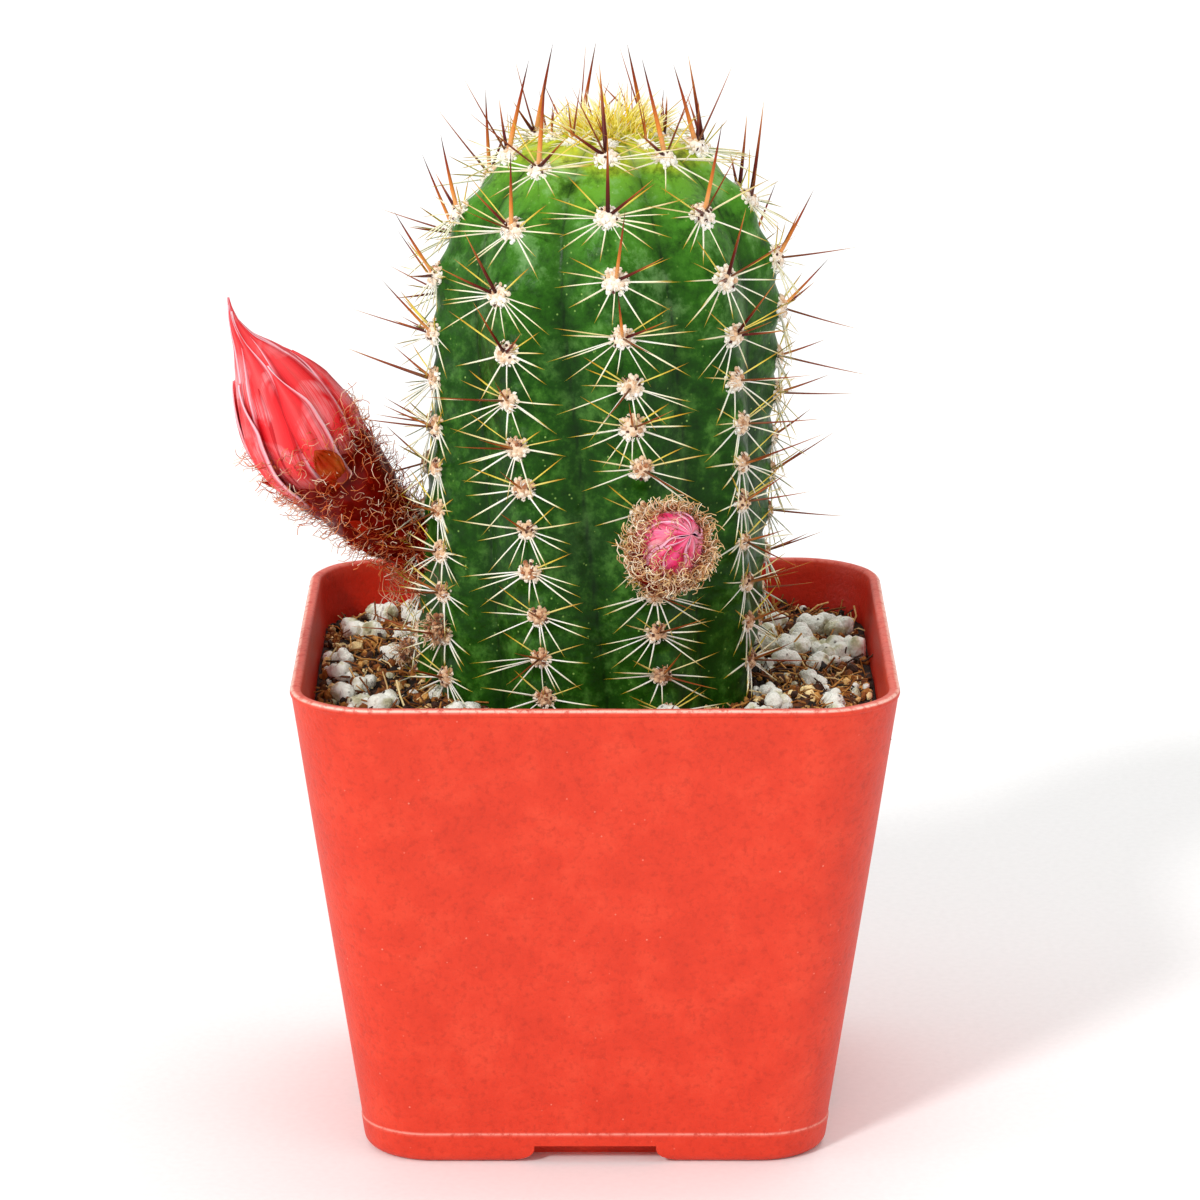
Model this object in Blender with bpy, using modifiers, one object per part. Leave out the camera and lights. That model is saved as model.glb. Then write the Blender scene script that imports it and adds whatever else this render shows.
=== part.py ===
"""A flowering column cactus in a square moulded nursery pot.

Modelled about the pot's upright axis, standing on z = 0, and shifted at the end so that the origin is
the bottom centre of the whole plant. Azimuths are measured from -Y, positive towards +X.
"""
import math
import random

import bmesh
import bpy
from mathutils import Matrix, Vector

GAP = 0.0003
OBJECT_NAME = "potted_cactus"

# Pot: a square taper with rounded upright corners and four corner feet
POT_HEIGHT = 0.0725
RIM_HALF = 0.0445
FOOT_HALF = 0.0342
CORNER_RADIUS = 0.0133
CORNER_STEPS = 5
WALL = 0.0012
FOOT_WIDTH = 0.0065
FLOOR_UNDERSIDE = 0.0032
FLOOR_TOP = 0.0046
BOTTOM_EDGE_RADIUS = 0.0035
ARCH_WIDTH = 0.0185
ARCH_HEIGHT = 0.0028
DRAIN_RADIUS = 0.0019
DRAIN_SPACING = 0.019

# Soil
SOIL_LEVEL = 0.0640
SOIL_WAVE = 0.0006
SOIL_CELLS = 14

# Stem: a column with a domed top, nine ribs that wind slowly round it, and a neck in the soil
STEM_RADIUS = 0.0252
SHOULDER_HEIGHT = 0.1230
DOME_HEIGHT = 0.0260
NECK_TOP = 0.0560
NECK_DEPTH = 0.0080
RIB_COUNT = 9
RIB_DEPTH = 0.09
RIB_SHARPNESS = 1.5
RIB_STEPS = 6
STEM_RINGS = 22
FIRST_RIB_AZIMUTH = math.radians(2.3)
TWIST_PER_METRE = math.radians(375.0)
TWIST_HEIGHT = 0.1320
LEAN = 0.04
LEAN_AT_SOIL = -0.0010

# Distances along the stem's outline, from its top
DOME_RUN = 0.0402
COLUMN_RUN = DOME_RUN + SHOULDER_HEIGHT - NECK_TOP
STEM_RUN = COLUMN_RUN + 0.0270

# Areoles: the first one of each rib is staggered, and the spacing closes up down the rib
FIRST_AREOLE_RUNS = (0.0128, 0.0138, 0.0135, 0.0165, 0.0136, 0.0158, 0.0132, 0.0157, 0.0159)
AREOLE_SPACING = 0.0062
EXTRA_TOP_SPACING = 0.0040
ROWS_TO_CLOSE_UP = 2.3
ROWS_WITH_CENTRALS = 3
PAD_RADIUS = 0.0022
PAD_HALF_HEIGHT = 0.0010
CROWN_SPINES = 16
CROWN_RADIUS = 0.0066
CROWN_HALF_HEIGHT = 0.0019
GOLDEN_TURN = math.radians(137.5)

# Flower buds
BUD_LENGTH = 0.0316
BUD_RADIUS = 0.0087
SMALL_BUD_LENGTH = 0.0078
SMALL_BUD_RADIUS = 0.0049


def new_collection(name):
    collection = bpy.data.collections.new(name)
    bpy.context.scene.collection.children.link(collection)
    return collection


def plain_material(name, colour, roughness):
    material = bpy.data.materials.new(name)
    material.use_nodes = True
    shader = material.node_tree.nodes["Principled BSDF"]
    shader.inputs["Base Color"].default_value = (*colour, 1.0)
    shader.inputs["Roughness"].default_value = roughness
    shader.inputs["Metallic"].default_value = 0.0
    return material


def add_part(name, bm, material, smooth_degrees=40.0):
    """Makes an object of the mesh, in the parts collection and under the empty that carries them all."""
    mesh = bpy.data.meshes.new(name)
    bm.to_mesh(mesh)
    bm.free()
    mesh.shade_smooth()
    mesh.set_sharp_from_angle(angle=math.radians(smooth_degrees))
    mesh.materials.append(material)
    part = bpy.data.objects.new(name, mesh)
    parts.objects.link(part)
    part.parent = stand
    return part


def add_cutter(name, bm):
    mesh = bpy.data.meshes.new(name)
    bm.to_mesh(mesh)
    bm.free()
    cutter = bpy.data.objects.new(name, mesh)
    cutters.objects.link(cutter)
    cutter.parent = stand
    cutter.hide_render = True
    cutter.display_type = "WIRE"
    return cutter


def combine(part, cutter, operation="DIFFERENCE"):
    modifier = part.modifiers.new(cutter.name, "BOOLEAN")
    modifier.operation = operation
    modifier.solver = "EXACT"
    modifier.object = cutter


# ---------------------------------------------------------------- pot and soil

def half_width(z):
    """The pot's outer half width at a height."""
    return FOOT_HALF + (RIM_HALF - FOOT_HALF) * z / POT_HEIGHT


def tapered_block(low, high, inset, bottom_edge=0.0):
    """A block that follows the pot's taper, inset from its outside, with rounded upright corners."""
    bm = bmesh.new()
    bmesh.ops.create_cube(bm, size=1.0)
    top_half = half_width(high) - inset
    for vert in bm.verts:
        vert.co.x *= 2.0 * top_half
        vert.co.y *= 2.0 * top_half
        vert.co.z = high if vert.co.z > 0.0 else low
    upright = [edge for edge in bm.edges if edge.verts[0].co.xy == edge.verts[1].co.xy]
    radius = (CORNER_RADIUS - inset) * half_width(high) / RIM_HALF
    bmesh.ops.bevel(bm, geom=upright, offset=radius, segments=CORNER_STEPS, profile=0.5, affect="EDGES")
    taper = (half_width(low) - inset) / top_half
    for vert in bm.verts:
        if vert.co.z < (low + high) / 2.0:
            vert.co.x *= taper
            vert.co.y *= taper
    if bottom_edge > 0.0:
        rim = [edge for edge in bm.edges if max(v.co.z for v in edge.verts) < low + GAP]
        bmesh.ops.bevel(bm, geom=rim, offset=bottom_edge, segments=3, profile=0.5, affect="EDGES")
    return bm


def arch_cutter(name, turn):
    """A long low bar with rounded top edges, cutting the arch in two opposite sides."""
    bm = bmesh.new()
    bmesh.ops.create_cube(bm, size=1.0)
    for vert in bm.verts:
        vert.co.x *= ARCH_WIDTH
        vert.co.y *= 4.0 * FOOT_HALF
        vert.co.z = ARCH_HEIGHT if vert.co.z > 0.0 else -ARCH_HEIGHT
    top = [e for e in bm.edges if min(v.co.z for v in e.verts) > 0.0 and e.calc_length() > 2 * FOOT_HALF]
    bmesh.ops.bevel(bm, geom=top, offset=ARCH_HEIGHT * 0.3, segments=3, profile=0.5, affect="EDGES")
    bm.transform(Matrix.Rotation(turn, 4, "Z"))
    return add_cutter(name, bm)


def drain_cutter(name, x, y):
    bm = bmesh.new()
    bmesh.ops.create_cone(bm, cap_ends=True, segments=10, radius1=DRAIN_RADIUS, radius2=DRAIN_RADIUS,
                          depth=4.0 * FLOOR_TOP)
    bm.transform(Matrix.Translation((x, y, 0.0)))
    return add_cutter(name, bm)


def make_pot():
    pot = add_part("pot", tapered_block(0.0, POT_HEIGHT, 0.0, BOTTOM_EDGE_RADIUS), red_plastic)
    combine(pot, add_cutter("pot_inside", tapered_block(FLOOR_TOP, POT_HEIGHT * 1.2, WALL)))
    combine(pot, add_cutter("pot_underside", tapered_block(-FLOOR_TOP, FLOOR_UNDERSIDE, FOOT_WIDTH)))
    combine(pot, arch_cutter("arch_front_to_back", 0.0))
    combine(pot, arch_cutter("arch_side_to_side", math.pi / 2.0))
    for number, (x, y) in enumerate(((0, 0), (-1, -1), (1, -1), (1, 1), (-1, 1)), 1):
        combine(pot, drain_cutter(f"drain_{number}", x * DRAIN_SPACING, y * DRAIN_SPACING))


def soil_surface(x, y):
    """The gentle swell of the soil, with a slight dip round the stem."""
    swell = math.sin(x * 170.0 + 0.6) * math.cos(y * 140.0 - 0.4)
    dip = 0.0006 * math.exp(-(math.hypot(x, y) / 0.032) ** 4)
    return SOIL_LEVEL + SOIL_WAVE * swell - dip


def make_soil():
    bm = bmesh.new()
    bmesh.ops.create_grid(bm, x_segments=SOIL_CELLS, y_segments=SOIL_CELLS, size=RIM_HALF)
    for vert in bm.verts:
        vert.co.z = soil_surface(vert.co.x, vert.co.y)
    lowered = bmesh.ops.extrude_face_region(bm, geom=bm.faces[:] + bm.edges[:] + bm.verts[:])
    for item in lowered["geom"]:
        if isinstance(item, bmesh.types.BMVert):
            item.co.z = -FLOOR_TOP
    bmesh.ops.recalc_face_normals(bm, faces=bm.faces[:])
    mould = tapered_block(FLOOR_TOP + GAP, POT_HEIGHT * 1.1, WALL + GAP)
    soil = add_part("soil", mould, dark_soil)
    combine(soil, add_cutter("soil_top", bm), "INTERSECT")
    combine(soil, stem_cutter)


# ---------------------------------------------------------------- stem

def axis_x(z):
    """The stem leans slightly, so its axis moves along X with height."""
    return LEAN_AT_SOIL + LEAN * (z - SOIL_LEVEL)


def outline(run):
    """Radius and height on the stem's outline, at a distance from its top."""
    if run < DOME_RUN:
        turn = run / DOME_RUN * math.pi / 2.0
        return STEM_RADIUS * math.sin(turn), SHOULDER_HEIGHT + DOME_HEIGHT * math.cos(turn)
    if run < COLUMN_RUN:
        return STEM_RADIUS, SHOULDER_HEIGHT - (run - DOME_RUN)
    turn = (run - COLUMN_RUN) / (STEM_RUN - COLUMN_RUN) * math.pi / 2.0
    return STEM_RADIUS * math.cos(turn), NECK_TOP - NECK_DEPTH * math.sin(turn)


def rib_azimuth(rib, z):
    return FIRST_RIB_AZIMUTH + rib * math.tau / RIB_COUNT + TWIST_PER_METRE * (TWIST_HEIGHT - z)


def crest_point(rib, run):
    """A point on a rib's crest, with the outward and upward directions of the skin there."""
    step = 0.0005
    radius, z = outline(run)
    radius_above, z_above = outline(run - step)
    azimuth = rib_azimuth(rib, z)
    away = Vector((math.sin(azimuth), -math.cos(azimuth), 0.0))
    point = away * radius + Vector((axis_x(z), 0.0, z))
    up = (away * (radius_above - radius) + Vector((0.0, 0.0, z_above - z))).normalized()
    outward = up.cross(Vector((0.0, 0.0, 1.0)).cross(away)).normalized()
    if outward.dot(away) + outward.z < 0.0:
        outward.negate()
    return point, outward, up


def stem_mesh(grow=0.0):
    """A globe stretched to the stem's outline and pressed in between the ribs."""
    bm = bmesh.new()
    bmesh.ops.create_uvsphere(bm, u_segments=RIB_COUNT * RIB_STEPS, v_segments=STEM_RINGS, radius=1.0)
    for vert in bm.verts:
        angle = math.atan2(vert.co.y, vert.co.x)
        run = math.acos(max(-1.0, min(1.0, vert.co.z))) / math.pi * STEM_RUN
        radius, z = outline(run)
        phase = angle * RIB_COUNT / math.tau
        groove = abs(2.0 * (phase - round(phase))) ** RIB_SHARPNESS
        radius = radius * (1.0 - RIB_DEPTH * groove) + grow * min(1.0, radius / STEM_RADIUS * 2.0)
        azimuth = rib_azimuth(0, z) + angle
        if run < DOME_RUN / 2.0:
            z += grow
        if run > COLUMN_RUN:
            z -= grow
        vert.co = Vector((radius * math.sin(azimuth) + axis_x(z), -radius * math.cos(azimuth), z))
    return bm


# ---------------------------------------------------------------- areoles and crown

def grow_spines(bm, spines, base_inset):
    """Draws the faces of a pad that look most along each spine's direction out into spines."""
    bm.normal_update()
    free = bm.faces[:]
    for direction, length in spines:
        face = max(free, key=lambda f: f.normal.dot(direction))
        free.remove(face)
        bmesh.ops.inset_individual(bm, faces=[face], thickness=base_inset)
        drawn = bmesh.ops.extrude_discrete_faces(bm, faces=[face])["faces"][0]
        tip = drawn.calc_center_median() + direction * length
        bmesh.ops.pointmerge(bm, verts=drawn.verts[:], merge_co=tip)


def areole_run(rib, row):
    """Distance of an areole from the top, along its rib."""
    extra = sum(math.exp(-((step / ROWS_TO_CLOSE_UP) ** 2)) for step in range(row))
    return FIRST_AREOLE_RUNS[rib] + row * AREOLE_SPACING + extra * EXTRA_TOP_SPACING


def spine_cluster(rib, row):
    """A wool pad with its stout central spines, standing just clear of the skin."""
    point, outward, up = crest_point(rib, areole_run(rib, row))
    side = up.cross(outward)
    bm = bmesh.new()
    bmesh.ops.create_uvsphere(bm, u_segments=8, v_segments=6, radius=PAD_RADIUS)
    for vert in bm.verts:
        vert.co.z *= PAD_HALF_HEIGHT / PAD_RADIUS
    draw = random.Random(31 * rib + 7 * row)
    length = 0.0120 - 0.0014 * row
    leans = ((0.0, 0.75, 1.0), (0.85, -0.1, 0.75), (-0.85, -0.1, 0.7), (0.1, -1.0, 0.55))
    spines = []
    for lean, share in zip(leans, (1.0, 0.66, 0.66, 0.5)):
        direction = Vector(lean) + Vector((draw.uniform(-0.15, 0.15), draw.uniform(-0.1, 0.1), 0.0))
        spines.append((direction.normalized(), length * share * draw.uniform(0.88, 1.05)))
    grow_spines(bm, spines, 0.0003)
    place = Matrix((side, up, outward)).transposed().to_4x4()
    place.translation = point + outward * (PAD_HALF_HEIGHT + GAP)
    bm.transform(place)
    add_part(f"spine_cluster_{rib + 1}_{row + 1}", bm, spine_brown)


def make_crown():
    """The growing point's wool, with its bristles and young spines."""
    bm = bmesh.new()
    bmesh.ops.create_uvsphere(bm, u_segments=12, v_segments=8, radius=CROWN_RADIUS)
    for vert in bm.verts:
        vert.co.z *= CROWN_HALF_HEIGHT / CROWN_RADIUS
    draw = random.Random(5)
    spines = []
    for number in range(CROWN_SPINES):
        azimuth = number * GOLDEN_TURN
        lean = 0.1 + 0.9 * math.sqrt((number + 0.5) / CROWN_SPINES)
        direction = Vector((lean * math.cos(azimuth), lean * math.sin(azimuth), 1.2 - 0.5 * lean))
        length = draw.uniform(0.0080, 0.0105) if number % 4 == 0 else draw.uniform(0.0035, 0.0060)
        spines.append((direction.normalized(), length))
    grow_spines(bm, spines, 0.0003)
    top = SHOULDER_HEIGHT + DOME_HEIGHT
    bm.transform(Matrix.Translation((axis_x(top), 0.0, top + CROWN_HALF_HEIGHT + GAP)))
    add_part("crown_tuft", bm, bristle_yellow)


def make_withered_flower(name, rib, run, radius):
    """The dry, shaggy rest of an old flower on a rib."""
    point, outward, up = crest_point(rib, run)
    bm = bmesh.new()
    bmesh.ops.create_uvsphere(bm, u_segments=8, v_segments=6, radius=radius)
    draw = random.Random(rib)
    tufts = []
    for number in range(9):
        azimuth = number * GOLDEN_TURN
        direction = Vector((math.cos(azimuth), math.sin(azimuth), draw.uniform(0.2, 1.2))).normalized()
        tufts.append((direction, radius * draw.uniform(0.5, 0.9)))
    grow_spines(bm, tufts, 0.0002)
    place = Matrix((up.cross(outward), up, outward)).transposed().to_4x4()
    place.translation = point + outward * (radius + GAP)
    bm.transform(place)
    add_part(name, bm, bud_hair_brown)


# ---------------------------------------------------------------- flower buds

def tube_part(name, points, radii, sides_resolution, material):
    """A tube of changing radius along a path, as a mesh whose end caps are welded on."""
    curve = bpy.data.curves.new(name, "CURVE")
    curve.dimensions = "3D"
    curve.bevel_depth = 1.0
    curve.bevel_resolution = sides_resolution
    curve.use_fill_caps = True
    spline = curve.splines.new("POLY")
    spline.points.add(len(points) - 1)
    for knot, point, radius in zip(spline.points, points, radii):
        knot.co = (*point, 1.0)
        knot.radius = radius
    guide = bpy.data.objects.new(name + "_path", curve)
    cutters.objects.link(guide)
    bpy.context.view_layer.update()
    mesh = bpy.data.meshes.new_from_object(guide.evaluated_get(bpy.context.evaluated_depsgraph_get()))
    bpy.data.objects.remove(guide)
    bm = bmesh.new()
    bm.from_mesh(mesh)
    bpy.data.meshes.remove(mesh)
    bmesh.ops.remove_doubles(bm, verts=bm.verts[:], dist=0.00001)
    bmesh.ops.recalc_face_normals(bm, faces=bm.faces[:])
    return add_part(name, bm, material)


def furled_radius(share):
    """The closed flower's radius as a share of its widest, from its seat (0) to its point (1)."""
    widest = 0.34
    if share < widest:
        return 1.0 - 0.27 * ((widest - share) / widest) ** 2
    return max(0.02, 1.0 - ((share - widest) / (1.0 - widest)) ** 2) ** 0.9


def make_heart(name, place, length, radius, inset, material):
    """The furled inner tepals: one twisted, pointed spindle."""
    bm = bmesh.new()
    bmesh.ops.create_uvsphere(bm, u_segments=12, v_segments=12, radius=1.0)
    for vert in bm.verts:
        share = (1.0 - math.acos(max(-1.0, min(1.0, vert.co.z))) / math.pi)
        azimuth = math.atan2(vert.co.y, vert.co.x) + 1.2 * share
        flat = math.hypot(vert.co.x, vert.co.y)
        if flat > 0.0001:
            clear = inset * (1.0 if share < 0.7 else max(0.15, 1.0 - (share - 0.7) * 4.0))
            flute = 1.0 + 0.05 * math.cos(3.0 * azimuth)
            flat = max(0.0004, (radius * furled_radius(share) - clear) * flute)
        vert.co = Vector((flat * math.cos(azimuth), flat * math.sin(azimuth), GAP + share * (length - GAP)))
    bm.transform(place)
    add_part(name, bm, material)


def make_tepal(name, place, length, radius, azimuth, half_angle, reach, thickness, material):
    """One tepal laid round the closed flower, widest near the middle and pointed at its end."""
    bm = bmesh.new()
    bmesh.ops.create_grid(bm, x_segments=4, y_segments=7, size=0.5)
    for vert in bm.verts:
        along = vert.co.y + 0.5
        share = 0.03 + along * (reach - 0.03)
        spread = half_angle * (0.72 + 0.28 * math.sin(math.pi * along)) * (1.0 - 0.93 * along ** 3)
        turn = azimuth + 2.0 * vert.co.x * spread + 0.35 * along
        flat = furled_radius(share) * radius
        vert.co = Vector((flat * math.cos(turn), flat * math.sin(turn), GAP + share * length))
    bmesh.ops.recalc_face_normals(bm, faces=bm.faces[:])
    bm.transform(place)
    tepal = add_part(name, bm, material)
    centre = place.translation + place.to_3x3() @ Vector((0.0, 0.0, length * 0.4))
    middle = tepal.data.polygons[len(tepal.data.polygons) // 2]
    outward = middle.normal.dot(middle.center - centre) > 0.0
    wall = tepal.modifiers.new("thickness", "SOLIDIFY")
    wall.thickness = thickness
    wall.offset = -1.0 if outward else 1.0


def make_flower(name, seat, tip, radius, rings, half_angle, material):
    """The closed flower: a heart and rings of tepals that overlap round it without touching."""
    axis = tip - seat
    length = axis.length
    place = axis.to_track_quat("Z", "Y").to_matrix().to_4x4()
    place.translation = seat
    thickness = 0.0005
    layer = thickness + 2.0 * GAP
    make_heart(f"{name}_heart", place, length, radius, layer * len(rings), material)
    number = 0
    for ring, count in enumerate(rings):
        for turn in range(count):
            number += 1
            azimuth = math.tau * (turn + 0.5 * ring) / count + 0.3
            reach = 0.66 + 0.05 * ((number * 2) % 3)
            make_tepal(f"{name}_tepal_{number}", place, length, radius - layer * ring, azimuth,
                       half_angle, reach, thickness, material)


def make_large_bud():
    path = [Vector(p) for p in ((-0.0215, 0.0050, 0.0760), (-0.0262, 0.0050, 0.0812),
                                (-0.0300, 0.0044, 0.0862), (-0.0336, 0.0034, 0.0908),
                                (-0.0366, 0.0027, 0.0944), (-0.0382, 0.0022, 0.0965))]
    tube = tube_part("large_bud_tube", path, (0.0039, 0.0042, 0.0047, 0.0054, 0.0060, 0.0063), 3, bud_hair_brown)
    combine(tube, stem_cutter)
    tip = path[-1] + Vector((-0.0174, -0.0032, 0.0262)).normalized() * BUD_LENGTH
    make_flower("large_bud", path[-1], tip, BUD_RADIUS, (3, 3), math.radians(50.0), petal_coral)


def make_small_bud():
    path = [Vector(p) for p in ((0.0076, -0.0222, 0.0846), (0.0087, -0.0258, 0.0872),
                                (0.0098, -0.0284, 0.0906), (0.0108, -0.0300, 0.0936),
                                (0.0120, -0.0328, 0.0950))]
    cup = tube_part("small_bud_cup", path, (0.0018, 0.0026, 0.0045, 0.0056, 0.0052), 3, bud_hair_brown)
    combine(cup, stem_cutter)
    tip = path[-1] + Vector((0.40, -0.86, 0.32)).normalized() * SMALL_BUD_LENGTH
    make_flower("small_bud", path[-1], tip, SMALL_BUD_RADIUS, (4,), math.radians(38.0), petal_pink)


# ---------------------------------------------------------------- pumice

def make_grain(number, x, y, size):
    """A rough pumice grain lying on the soil."""
    bm = bmesh.new()
    bmesh.ops.create_icosphere(bm, subdivisions=1, radius=size / 2.0)
    draw = random.Random(number)
    for vert in bm.verts:
        vert.co *= draw.uniform(0.82, 1.08)
        vert.co.z *= 0.75
    lowest = min(vert.co.z for vert in bm.verts)
    ground = max(soil_surface(x + dx * size / 2.0, y + dy * size / 2.0)
                 for dx in (-1, 0, 1) for dy in (-1, 0, 1))
    bm.transform(Matrix.Translation((x, y, ground + GAP - lowest)))
    add_part(f"pumice_grain_{number:02d}", bm, pumice_white)


def make_grains():
    places = ((-0.0320, -0.0160, 0.0052), (-0.0352, -0.0050, 0.0046), (-0.0345, 0.0240, 0.0055),
              (-0.0310, 0.0130, 0.0042), (-0.0195, -0.0230, 0.0046), (0.0250, -0.0200, 0.0046),
              (0.0355, -0.0195, 0.0050), (0.0350, 0.0290, 0.0058), (0.0325, -0.0030, 0.0048),
              (0.0345, 0.0140, 0.0044))
    for number, (x, y, size) in enumerate(places, 1):
        make_grain(number, x, y, size)


# ---------------------------------------------------------------- the whole

def stand_on_origin():
    """Moves the empty so that the bottom centre of all the parts is the origin."""
    bpy.context.view_layer.update()
    depsgraph = bpy.context.evaluated_depsgraph_get()
    corners = []
    for part in parts.objects:
        if part.type == "MESH":
            shape = part.evaluated_get(depsgraph)
            corners += [part.matrix_world @ vert.co for vert in shape.data.vertices]
    low = Vector(min(corner[axis] for corner in corners) for axis in range(3))
    high = Vector(max(corner[axis] for corner in corners) for axis in range(3))
    stand.location = (-(low.x + high.x) / 2.0, -(low.y + high.y) / 2.0, -low.z)
    bpy.context.view_layer.update()


for leftover in list(bpy.data.objects):
    bpy.data.objects.remove(leftover)

parts = new_collection(OBJECT_NAME)
cutters = new_collection(OBJECT_NAME + "_cutters")
stand = bpy.data.objects.new(OBJECT_NAME, None)
parts.objects.link(stand)

red_plastic = plain_material("red_plastic", (0.86, 0.09, 0.05), 0.45)
dark_soil = plain_material("dark_soil", (0.07, 0.035, 0.015), 0.95)
stem_green = plain_material("stem_green", (0.025, 0.09, 0.02), 0.5)
spine_brown = plain_material("spine_brown", (0.30, 0.09, 0.03), 0.5)
bristle_yellow = plain_material("bristle_yellow", (0.80, 0.62, 0.22), 0.6)
bud_hair_brown = plain_material("bud_hair_brown", (0.22, 0.06, 0.03), 0.8)
petal_coral = plain_material("petal_coral", (0.85, 0.06, 0.06), 0.4)
petal_pink = plain_material("petal_pink", (0.85, 0.10, 0.20), 0.4)
pumice_white = plain_material("pumice_white", (0.80, 0.74, 0.62), 0.9)

stem_cutter = add_cutter("stem_room", stem_mesh(GAP))
make_pot()
make_soil()
add_part("cactus_stem", stem_mesh(), stem_green)
for rib_number in range(RIB_COUNT):
    for row_number in range(ROWS_WITH_CENTRALS):
        spine_cluster(rib_number, row_number)
make_crown()
make_large_bud()
make_small_bud()
make_withered_flower("withered_flower_left", 7, 0.0865, 0.0024)
make_withered_flower("withered_flower_under_bud", 6, 0.0940, 0.0024)
make_grains()
stand_on_origin()
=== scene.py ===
"""Looks of a flowering column cactus in a square nursery pot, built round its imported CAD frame."""
import math
import random

import bmesh
import bpy
from mathutils import Matrix, Vector, noise


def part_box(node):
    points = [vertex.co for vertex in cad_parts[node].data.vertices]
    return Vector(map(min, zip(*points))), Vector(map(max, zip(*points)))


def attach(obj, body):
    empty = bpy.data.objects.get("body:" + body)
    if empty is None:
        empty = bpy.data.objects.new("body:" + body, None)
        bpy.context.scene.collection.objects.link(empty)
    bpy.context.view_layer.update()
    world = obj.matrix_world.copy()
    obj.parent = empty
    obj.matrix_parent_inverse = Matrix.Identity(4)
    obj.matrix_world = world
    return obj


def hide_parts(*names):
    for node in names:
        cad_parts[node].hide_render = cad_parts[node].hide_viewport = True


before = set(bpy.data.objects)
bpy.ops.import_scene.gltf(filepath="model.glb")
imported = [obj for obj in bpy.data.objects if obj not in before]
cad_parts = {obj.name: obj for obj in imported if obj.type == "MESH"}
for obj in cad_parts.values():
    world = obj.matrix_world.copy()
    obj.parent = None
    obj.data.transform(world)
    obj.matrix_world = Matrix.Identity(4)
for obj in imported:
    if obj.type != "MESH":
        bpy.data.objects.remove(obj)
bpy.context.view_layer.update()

MM = 0.001
UP = Vector((0.0, 0.0, 1.0))

# Pot, as packed
POT_LOW, POT_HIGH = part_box("pot")
POT_X = (POT_LOW.x + POT_HIGH.x) / 2.0
POT_HEIGHT = POT_HIGH.z
RIM_HALF = (POT_HIGH.x - POT_LOW.x) / 2.0
FOOT_HALF = 0.7685 * RIM_HALF
CORNER_RADIUS = 0.299 * RIM_HALF
WALL = 1.3 * MM
LIP_WIDTH = 1.7 * MM
LIP_HEIGHT = 1.5 * MM
FOOT_BAND = 4.6 * MM
FLOOR_UNDERSIDE = 1.7 * MM
FLOOR_TOP = 4.6 * MM
DRAIN_RADIUS = 1.9 * MM
DRAIN_SPACING = 19.0 * MM
SOIL_LEVEL = 64.0 * MM

# Stem, as packed
STEM_LOW, STEM_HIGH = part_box("cactus_stem")
STEM_RADIUS = (STEM_HIGH.y - STEM_LOW.y) / 2.0 + 0.2 * MM
DOME_HEIGHT = 26.0 * MM
SHOULDER_HEIGHT = STEM_HIGH.z - DOME_HEIGHT
NECK_DEPTH = 8.0 * MM
NECK_TOP = STEM_LOW.z + NECK_DEPTH
DOME_RUN = 40.2 * MM
COLUMN_RUN = DOME_RUN + SHOULDER_HEIGHT - NECK_TOP
STEM_RUN = COLUMN_RUN + 27.0 * MM
LEAN = 0.04
LEAN_AT_SOIL = -1.0 * MM
RIB_COUNT = 9
RIB_DEPTH = 0.095
GROOVE_SHARPNESS = 1.7
FIRST_RIB = math.radians(2.3)
TWIST = math.radians(375.0)
TWIST_HEIGHT = 132.0 * MM

# Areoles: where the first one of each rib is, counted along the outline from the top
FIRST_AREOLES = (12.8, 13.8, 13.5, 16.5, 13.6, 15.8, 13.2, 15.7, 15.9)


# ------------------------------------------------------------------ small tools

def linear(colour):
    """An sRGB hex colour as linear red, green, blue and alpha."""
    channels = [int(colour[place:place + 2], 16) / 255.0 for place in (1, 3, 5)]
    return tuple(c / 12.92 if c <= 0.04045 else ((c + 0.055) / 1.055) ** 2.4 for c in channels) + (1.0,)


def connect(tree, value, socket):
    """Links a node or a socket to an input, or sets the input to a value."""
    if isinstance(value, bpy.types.Node):
        value = next(s for s in value.outputs if s.enabled)
    if isinstance(value, bpy.types.NodeSocket):
        tree.links.new(value, socket)
    else:
        socket.default_value = value


def node(tree, kind, inputs=None, stops=None, **settings):
    """Adds a node with its settings, its input values or links, and the stops of its colour ramp."""
    made = tree.nodes.new(kind)
    for name, value in settings.items():
        setattr(made, name, value)
    for key, value in (inputs or {}).items():
        live = [socket for socket in made.inputs if socket.enabled]
        connect(tree, value, live[key] if isinstance(key, int) else next(s for s in live if s.name == key))
    if stops:
        ramp = made.color_ramp
        while len(ramp.elements) < len(stops):
            ramp.elements.new(1.0)
        for element, (place, colour) in zip(ramp.elements, stops):
            element.position = place
            element.color = linear(colour)
    return made


def finish_named(name):
    """A new material with its node tree, its shader and its Object coordinates."""
    made = bpy.data.materials.new(name)
    made.use_nodes = True
    place = node(made.node_tree, "ShaderNodeTexCoord").outputs["Object"]
    return made, made.node_tree, made.node_tree.nodes["Principled BSDF"], place


def set_shader(tree, shader, **values):
    """Sets the shader's sockets, named with underscores, to values or links."""
    for name, value in values.items():
        connect(tree, value, shader.inputs[name.replace("_", " ")])


def lay_over(tree, base, colour, value, start, full, most=1.0, least=0.0, where=None):
    """Lays a colour over a base as a value goes from start to full, and only where a second mask allows it."""
    mask = node(tree, "ShaderNodeMapRange", {"Value": value, "From Min": start, "From Max": full,
                                             "To Min": least, "To Max": most})
    if where is not None:
        mask = node(tree, "ShaderNodeMath", {0: mask, 1: where}, operation="MULTIPLY")
    return node(tree, "ShaderNodeMix", {"Factor": mask, "A": base, "B": linear(colour)}, data_type="RGBA")


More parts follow.
